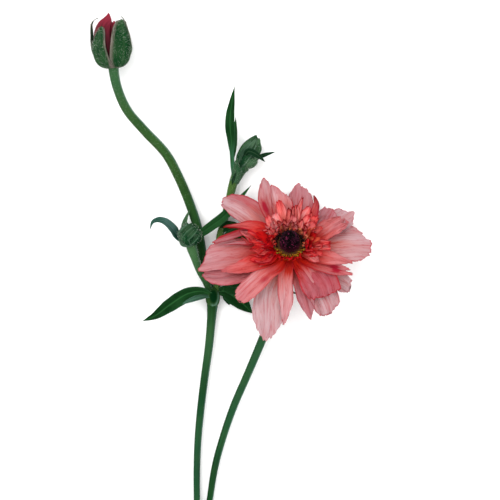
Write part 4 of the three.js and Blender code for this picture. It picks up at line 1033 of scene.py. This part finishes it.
LEAF_THICK = 0.36
UNDERSIDE_LIGHT = 0.55
LEAVES = {
    "leaf_lower_left": [
        (3.3, 0.35, 1.2, -35, 8, [(-8.2, 5.4, 5.6), (-12.6, 7, 8), (-18.6, 5.9, 8.4), (-26.4, 1, 6.6),
         (-33, -3.9, 4.6), (-38.5, -6.3, 3.4)], {}),
        (1.2, 0, 0.8, 10, 20, [(-8.6, 4.8, 6), (-13, 4.4, 8.4), (-17.4, 3, 8.8), (-21.6, 0.9, 7.4)], dict(film=0.5)),
    ],
    "leaf_lower_right": [
        (3.7, 0.2, 1.2, 0, 0, [(-7, 5.8, 4), (-2.6, 6.8, 4.6), (2.6, 3.8, 4.4), (9.8, -2.8, 3.4)], dict(shape=0.95)),
        (3, 0.1, 0.8, 0, 0, [(-3.5, 6.6, 4.5), (1.6, 8.4, 4.8), (9.2, 8.6, 3.8)], {}),
        (2, 0.1, 0.8, 0, 0, [(-2.8, 6.4, 4.5), (-1.2, 3.9, 4.2), (-0.5, 0.8, 3.6)], {}),
    ],
    "leaf_behind_bloom": [
        (3.6, 0.2, 1, 0, 0, [(-4.4, 24.6, 3.6), (-1.6, 28.2, 5.4), (2.6, 31, 6), (8.4, 32.4, 5.8), (13.4, 32.6, 5)],
         {}),
        (2.4, 0.1, 1.4, 0, 0, [(-4.5, 32.6, 3.6), (-1.9, 35, 4.6), (1.6, 35.2, 4.8), (6, 34.6, 4.6)], {}),
    ],
    "leaf_long": [
        (2.2, 0.3, 1.6, 0, 0, [(-16, 28.6, 8.8), (-12.5, 32.2, 7.6), (-8.2, 35.4, 7.2), (-3.4, 39, 7.3),
         (2.6, 45.6, 6.4), (9, 53.1, 4.6)], dict(shape=0.7, light=0.45)),
    ],
    "leaf_curled": [
        (1.9, 0.4, 1.2, 20, 40, [(-18.4, 27, 8.6), (-22.6, 30.2, 7.4), (-25.6, 34.6, 9.4), (-29.4, 37.6, 10.8),
         (-33.2, 37.2, 10), (-35, 34, 8.4)], {}),
    ],
    "leaf_short": [
        (1.7, 0.6, 1, -20, -20, [(-17, 25.2, 7.2), (-19, 30, 4.9), (-19.8, 36, 5.1), (-17.8, 42.4, 6.4)],
         dict(light=0.8, margin=0.9)),
    ],
    "leaf_tall": [
        (2.1, 0.35, 0.95, 0, 0, [(1.6, 57.6, 5), (1, 62, 6.4), (0.7, 67, 7), (0.4, 73, 7.2), (-0.2, 81, 7),
         (0.5, 88.4, 6.2), (1.9, 96.6, 5.2)], dict(stalk=0.2, cool=1)),
        (1.3, 0.2, 0.8, 15, 15, [(0.8, 63, 6.7), (1.5, 69, 6.3), (1.9, 76, 6), (2.4, 83, 5.6)], dict(light=0.5)),
    ],
}
LEAF_PAINTS = {"leaf_curled": BLUE_LEAF_PAINT, "leaf_short": SMALL_BUD_PAINT}
BUD_LEAFLETS = [
    (1.5, 0.25, 0.8, 10, 10, [(6, 65.4, 8.4), (8, 67.8, 11.4), (11.2, 66.6, 11.8), (15.1, 63.4, 9.8)], dict(dark=1)),
    (0.95, 0.4, 0.6, 0, 0, [(9.8, 64, 4.6), (13.6, 66, 4.6), (19.8, 67.9, 5)], dict(dark=0.6)),
    (0.6, 0.25, 0.2, 0, 0, [(0.9, 53.6, 6), (1.4, 56, 6.8), (2.6, 59.5, 7.4)], dict(dark=1)),
]


def add_leaf(piece, blade, seed, rows=56, columns=14, stalk=0, shape=0.8, light=0, dark=0, margin=0.2, film=0, cool=0):
    """A leaf: a folded or rolled blade along its route, with a groove down its middle and a neck at its root."""
    half, fold, neck, roll, roll_end, route = blade
    curve = Curve(route)
    s, t = sheet_grid(rows, columns)
    off = np.abs(t)
    centre, along = curve.at(s), curve.along(s)
    across = unit(np.cross(UP, along))
    across, normal = turned(across, np.cross(along, across), np.radians(lerp(roll, roll_end, s)))
    opening = np.sin(math.pi * np.clip((s - stalk) / (1 - stalk), 0, 1) ** shape) ** 0.9
    width = np.maximum(half * opening, np.where(s < 0.5, neck, 0.12))
    width = width * (1 + 0.05 * wobble(s * 9, np.sign(t) * 2, seed) * off)
    rise = fold * off ** 1.2 * width + 0.3 * t * t * np.sin(5 * s + 2 * t)
    rise = rise + 0.12 * off * wobble(s * 14, t * 3, seed + 0.4) * np.minimum(1, width / 1.5)
    points = centre + across * (width * t)[..., None] + normal * rise[..., None]
    groove = np.exp(-(t / 0.13) ** 2) * np.minimum(1, width / 2)
    thick = LEAF_THICK / 2 * (1 - 0.5 * off ** 4)
    over = points + normal * (thick - 0.18 * groove)[..., None]
    under = points - normal * (thick + 0.22 * groove)[..., None]
    top_light = light + 0.6 * np.exp(-(s / 0.12) ** 2)
    piece.add(
        np.stack([over, under]), sheet_faces(rows + 1, columns + 1), grain=(np.abs(width * t), s * curve.length),
        along=s, across=t, light=np.stack([top_light, np.full_like(s, UNDERSIDE_LIGHT)]), rim=margin * off ** 12 + film,
        dark=dark, rose=cool * np.exp(-(s / 0.3) ** 4),
    )


def build_leaves():
    for n, (node, blades) in enumerate(LEAVES.items()):
        leaf = Piece(node + "_blade", node, "leaf_green")
        for i, (*blade, more) in enumerate(blades):
            add_leaf(leaf, blade, SEEDS["leaf"] + 7 * n + i, **more)
        leaf.build(LEAF_PAINTS.get(node, LEAF_PAINT))


# Buds

def bud_frame(origin, direction):
    axis = unit(np.array(direction))
    front = unit(UP - axis * axis[2])
    return in_frame(np.array(origin), front, np.cross(axis, front), axis)


WRAP_CURL_FROM = 0.8


def add_wrap(piece, place, wrap, seed, rows=36, columns=24, hairs=0, pace=1, base=0, drop=1.5, overlap=0.25, curl=0,
             margin=0.6, thick=0.5, **values):
    """A sepal, petal or bract round a bud's axis, from its turn, spread and radius from base to tip, and its length."""
    turn, spread, radii, length = wrap
    s, t = sheet_grid(rows, columns)
    bend_to = math.radians(curl or 1e-3)

    def shell(s, t, lift):
        angle = np.radians(smooth_at(turn, s) + smooth_at(spread, s) * t)
        bend = np.maximum(0, s - WRAP_CURL_FROM) / (1 - WRAP_CURL_FROM) * bend_to
        bow = (1 - WRAP_CURL_FROM) * (length - base) / bend_to - lift
        radius = smooth_at(radii, s ** pace) + overlap * t - bow * (1 - np.cos(bend)) + lift
        radius = radius + 0.16 * wobble(s * 5, t * 2.5, seed) * np.sin(np.minimum(s * 3, 1) * math.pi / 2)
        height = lerp(base, length, np.minimum(s, WRAP_CURL_FROM if curl else 1)) - drop * t * t * s ** 3
        height = height + (bow * np.sin(bend) if curl else 0) + 0.25 * wobble(t * 7, 0, seed + 0.5) * s ** 6
        return grid_of(np.cos(angle) * radius, np.sin(angle) * radius, height)

    edge = np.maximum(np.abs(t) ** 8, s ** 20)
    half = smooth_at(radii, s ** pace) * np.radians(smooth_at(spread, s))
    depth = thick * (1 - 0.65 * edge) * (1 - 0.5 * s ** 3)
    piece.add(
        place(np.stack([shell(s, t, 0.2), shell(s, t, 0.2 + depth)])),
        [tuple(reversed(face)) for face in sheet_faces(rows + 1, columns + 1)],
        grain=(half * t + seed * 3, s * length), along=s, across=t,
        rim=np.clip(1.5 - half * (1 - np.abs(t)) / margin, 0, 1), **values,
    )
    if hairs:
        root = shell(chances(hairs, seed * 31, 1.1), (2 * chances(hairs, seed * 37, 1.9) - 1) * 0.97, 0.15 + thick)
        start, out = place(root), unit(root * (1, 1, 0)) + 0.5 * UP
        add_spikes(piece, start, place(root + out) - start, lerp(0.35, 0.95, chances(hairs, seed * 41)), 0.03)


# Rows of wraps: turn, spread, radius, length, and what else differs.
SEPAL = dict(base=0.1, overlap=0.3, pace=0.5, margin=1.2)
NARROW_SEPAL = dict(SEPAL, overlap=0.1, drop=0, margin=0.06)
SEPAL_RADIUS = [1.4, 2.9, 4.3, 5.6, 6.6, 7.3, 7.8, 8.2, 8.1, 7.6, 7.0]
NARROW_SPREAD = [50, 42, 30, 20, 12, 6, 1.5]
BUD_SEPALS = [
    ([42, 42, 42, 42, 42, 43, 39], [51, 49, 45, 41, 37, 32, 18], SEPAL_RADIUS, 20.6, dict(SEPAL, curl=-35, drop=0.9)),
    ([-52, -52, -51, -47, -42, -36, -28], [48, 46, 41, 34, 28, 23, 12], SEPAL_RADIUS, 18.2,
     dict(SEPAL, margin=0.6, drop=0.9)),
    ([-106, -104, -102, -100, -98, -96, -92], NARROW_SPREAD, [1.4, 2.9, 4.3, 5.6, 6.6, 7.4, 8.0, 8.2, 8.1, 7.8, 7.4],
     24, dict(NARROW_SEPAL, curl=80)),
    ([180, 180], [50, 44, 40, 36, 31, 24, 11], SEPAL_RADIUS, 20, SEPAL),
    ([108, 106, 104, 102, 98, 94, 90], NARROW_SPREAD, [1.4, 2.9, 4.3, 5.6, 6.8, 7.8, 8.5, 8.2, 7.1, 6.5, 6.5], 23,
     dict(NARROW_SEPAL, curl=45, thick=0.36)),
]
BUD_PETALS = [
    ([-50, -50, -50, -50, -45, -38, -8], [60, 58, 54, 50, 47, 48, 40], [3.6, 5.9, 6.7, 6.9, 6.3, 4.6, 0.9], 24.4),
    ([50, 48, 46, 44, 44, 42, 36], [60, 60, 58, 52, 44, 34, 14], [3.6, 5.4, 6.0, 6.1, 5.6, 4.6, 3.2], 20.6),
    ([178, 170], [60, 62, 60, 58, 54, 46, 28], [3.6, 5.5, 5.9, 5.6, 4.6, 2.9, 0.8], 22),
    ([-8, -6, -4, -2, 0, 2, 4], [50, 46, 40, 34, 30, 24, 10], [3.2, 4.9, 5.4, 5.4, 4.6, 3.2, 1.2], 22.6),
]
BUD_CORE = [[0, 0], [4.4, 5.6], [5.4, 8.5], [5.6, 11.3], [5, 14.1], [3.4, 17], [1.6, 19.8], [0, 21.6]]


def build_top_bud():
    place = bud_frame(BUD_BASE, BUD_TIP - BUD_BASE)
    sepals = Piece("top_bud_sepals_green", "top_bud_sepals", "sepal_green")
    for i, (*wrap, rest) in enumerate(BUD_SEPALS):
        add_wrap(sepals, place, wrap, SEEDS["top_sepal"] + i, hairs=450, **rest)
    sepals.build(SEPAL_PAINT, HAIR_PAINT)
    petals = Piece("top_bud_petals_red", "top_bud_petals", "bud_crimson")
    add_lathe(petals, BUD_CORE, 32, place, rows=24)
    for i, wrap in enumerate(BUD_PETALS):
        add_wrap(petals, place, wrap, SEEDS["top_petal"] + i, base=3.4, drop=2, margin=0.01)
    petals.build(BUD_PETAL_PAINT)


GREEN_BUD_SHAPE = (0, 0.62, 0.9, 0.96, 0.86, 0.6, 0)
GREEN_SEPAL_SHAPE = (0.5, 0.82, 0.94, 0.9, 0.66, 0.24)
GREEN_SEPALS = 5


def add_green_bud(piece, place, length, radius, seed, hairs, light=0):
    profile = [[r * radius, length * i / (len(GREEN_BUD_SHAPE) - 1)] for i, r in enumerate(GREEN_BUD_SHAPE)]
    add_lathe(piece, profile, 28, place, rows=20, dark=0.6)
    for i in range(GREEN_SEPALS):
        turn = 360 / GREEN_SEPALS * i + 20
        wrap = ([turn, turn + 6, turn + 18], [60, 54, 46, 36, 24, 8], [r * radius for r in GREEN_SEPAL_SHAPE],
                length * (1.04 - 0.05 * (i % 3)))
        add_wrap(piece, place, wrap, seed + i, 22, 16, hairs, base=length * 0.06, overlap=0.5, drop=1.6, margin=0.12,
                 light=light)


LEFT_BUD_FOLDS = [
    (1.7, 0.5, 0.4, 0, 0, [(-20.4, 28.8, 13.4), (-18.4, 30.8, 16.2), (-16.2, 33, 16), (-14, 35.2, 12.6)], {}),
    (1.5, 0.5, 0.4, 0, 0, [(-18.4, 27.4, 13), (-16.4, 29.4, 15.6), (-14.4, 31.4, 15.2), (-12.7, 33.1, 12.2)], {}),
    (1.4, 0.5, 0.4, 0, 0, [(-21.7, 30.9, 12.6), (-20, 32.8, 15.2), (-18, 34.8, 15), (-16.4, 36.6, 12)], {}),
    (0.8, 0.5, 0.4, 0, 0, [(-22.2, 29.6, 9.4), (-20.6, 27.2, 12), (-16.9, 27.2, 13.4), (-13.4, 30.2, 12)],
     dict(film=0.5)),
]
BRACTS = [
    ([-30, -40, -50], [80, 76, 68, 52, 20], [1.5, 1.7, 2.3, 3.1, 3.4], 10.5),
    ([90, 70, 40], [80, 76, 68, 50, 20], [1.5, 1.6, 2, 2.7, 2.8], 10.2),
    ([190, 185, 180], [80, 76, 66, 48, 20], [1.5, 1.6, 2, 2.6, 2.7], 9),
]
HOOD = [
    ([-64, -56, -50, -46], [80, 78, 74, 66, 50], [1.8, 3.4, 4.1, 4, 3.2, 1.7], 15.7),
    ([70, 66, 60, 54], [80, 74, 66, 56, 44], [1.8, 3.2, 3.9, 3.8, 2.9, 0.5], 15.4),
    ([180, 180], [80, 74, 66, 56, 44], [1.8, 3.2, 3.9, 3.8, 2.9, 0.5], 15.2),
]
HOOD_SHAPE = [1.6, 3, 3.8, 3.9, 3.6, 2.9, 1.3]
HOOD_STEP = 2.5
HOOD_FLAT = (0.72, 1, 1)
HOOD_FOLDS = [
    [(3.6, 63, 8.4), (5.4, 67.5, 9.7), (8, 71, 9.3), (10.6, 73.6, 7)],
    [(6.4, 66, 9.2), (8.4, 69.2, 10), (10.2, 71.8, 9.2), (11.6, 74, 7)],
]


def build_small_buds():
    left = Piece("left_small_bud_green", "left_small_bud", "sepal_green")
    add_green_bud(left, bud_frame([-17.6, 27.4, 10], [0.04, 0.92, 0.36]), 9.4, 4.5, SEEDS["left_bud"], hairs=110)
    for i, (*blade, more) in enumerate(LEFT_BUD_FOLDS):
        add_leaf(left, blade, SEEDS["left_fold"] + i, 24, 10, margin=0.7, light=0.15, **more)
    left.build(SMALL_BUD_PAINT, HAIR_PAINT)
    right = Piece("right_small_bud_green", "right_small_bud", "sepal_green")
    core = bud_frame([5.6, 61.6, 5], [0.7, 0.68, 0.1])
    add_green_bud(right, core, 8.2, 3.1, SEEDS["right_bud"], hairs=160, light=0.45)
    sheath = bud_frame([1.6, 54.6, 4.3], [0.42, 0.9, 0.1])
    for i, wrap in enumerate(BRACTS):
        add_wrap(right, sheath, wrap, SEEDS["bract"] + i, 26, 18, hairs=200, margin=0.1, drop=2, light=0.15)
    hood = bud_frame([4.2, 61, 5.6], [0.54, 0.87, 0.05])

    def flat_hood(points):
        return hood(points * HOOD_FLAT)

    add_lathe(right, [[r, HOOD_STEP * i] for i, r in enumerate(HOOD_SHAPE)], 28, flat_hood, rows=24)
    for i, wrap in enumerate(HOOD):
        add_wrap(right, flat_hood, wrap, SEEDS["hood"] + i, 26, 18, hairs=30, margin=0.1, drop=1, overlap=0.35,
                 thick=0.4, dark=0.3)
    for i, (*blade, more) in enumerate(BUD_LEAFLETS):
        add_leaf(right, blade, SEEDS["leaflet"] + i, 30, 10, **more)
    for i, route in enumerate(HOOD_FOLDS):
        add_leaf(right, (0.8, 0.5, 0.2, 0, 0, route), SEEDS["hood_fold"] + i, 24, 10, margin=0.8, film=0.3)
    right.build(SMALL_BUD_PAINT, HAIR_PAINT)


# Surface, light and camera

FLOOR_HALF = 3.0
WORLD_STRENGTH = 1.28
LAMPS = [("key", (-0.7, 0.5, 1.3), 14.4, 1.0), ("fill", (0.9, -0.3, 1.1), 6.4, 1.2)]  # name, place, power and width
LAMP_AIM = (0.01, 0.02, 0)


def build_stage():
    mesh = bpy.data.meshes.new("floor")
    corners = [(FLOOR_HALF * x, FLOOR_HALF * y, 0) for x, y in ((-1, -1), (1, -1), (1, 1), (-1, 1))]
    mesh.from_pydata(corners, [], [(0, 1, 2, 3)])
    p = Paint("floor_white", Roughness=0.9, Specular_IOR_Level=0.1)
    white = p.ramp(p.noise(p.object_place(), 30.0), [(0.3, 1.26, 1.26, 1.26), (0.7, 1.28, 1.28, 1.28)])
    mesh.materials.append(p.finish(white))
    floor = put("floor", mesh)

    scene = bpy.context.scene
    scene.world = bpy.data.worlds.new("studio")
    scene.world.use_nodes = True
    sky = scene.world.node_tree.nodes["Background"].inputs
    sky["Color"].default_value = (1, 1, 1, 1)
    sky["Strength"].default_value = WORLD_STRENGTH
    for name, place, power, width in LAMPS:
        light = bpy.data.lights.new(name, "AREA")
        light.energy, light.size = power, width
        lamp = put(name, light)
        lamp.location = place
        x, y, z = np.subtract(LAMP_AIM, place)
        lamp.rotation_euler = math.atan2(math.hypot(x, y), -z), 0, math.atan2(y, x) - math.pi / 2

    camera = bpy.data.cameras.new("camera")
    camera.sensor_width = SENSOR
    camera.lens = SENSOR * VIEW_HEIGHT / VIEW_WIDTH
    camera.clip_start, camera.clip_end = 0.05, 10
    holder = put("camera", camera)
    holder.location = (VIEW_CENTRE[0] * MM, VIEW_CENTRE[1] * MM, VIEW_HEIGHT * MM)
    bpy.context.scene.camera = holder
    scene.view_settings.view_transform = "Standard"


build_stage()
build_stem()
build_sepals()
build_bloom()
build_stamens()
build_carpels()
build_top_bud()
build_small_buds()
build_leaves()
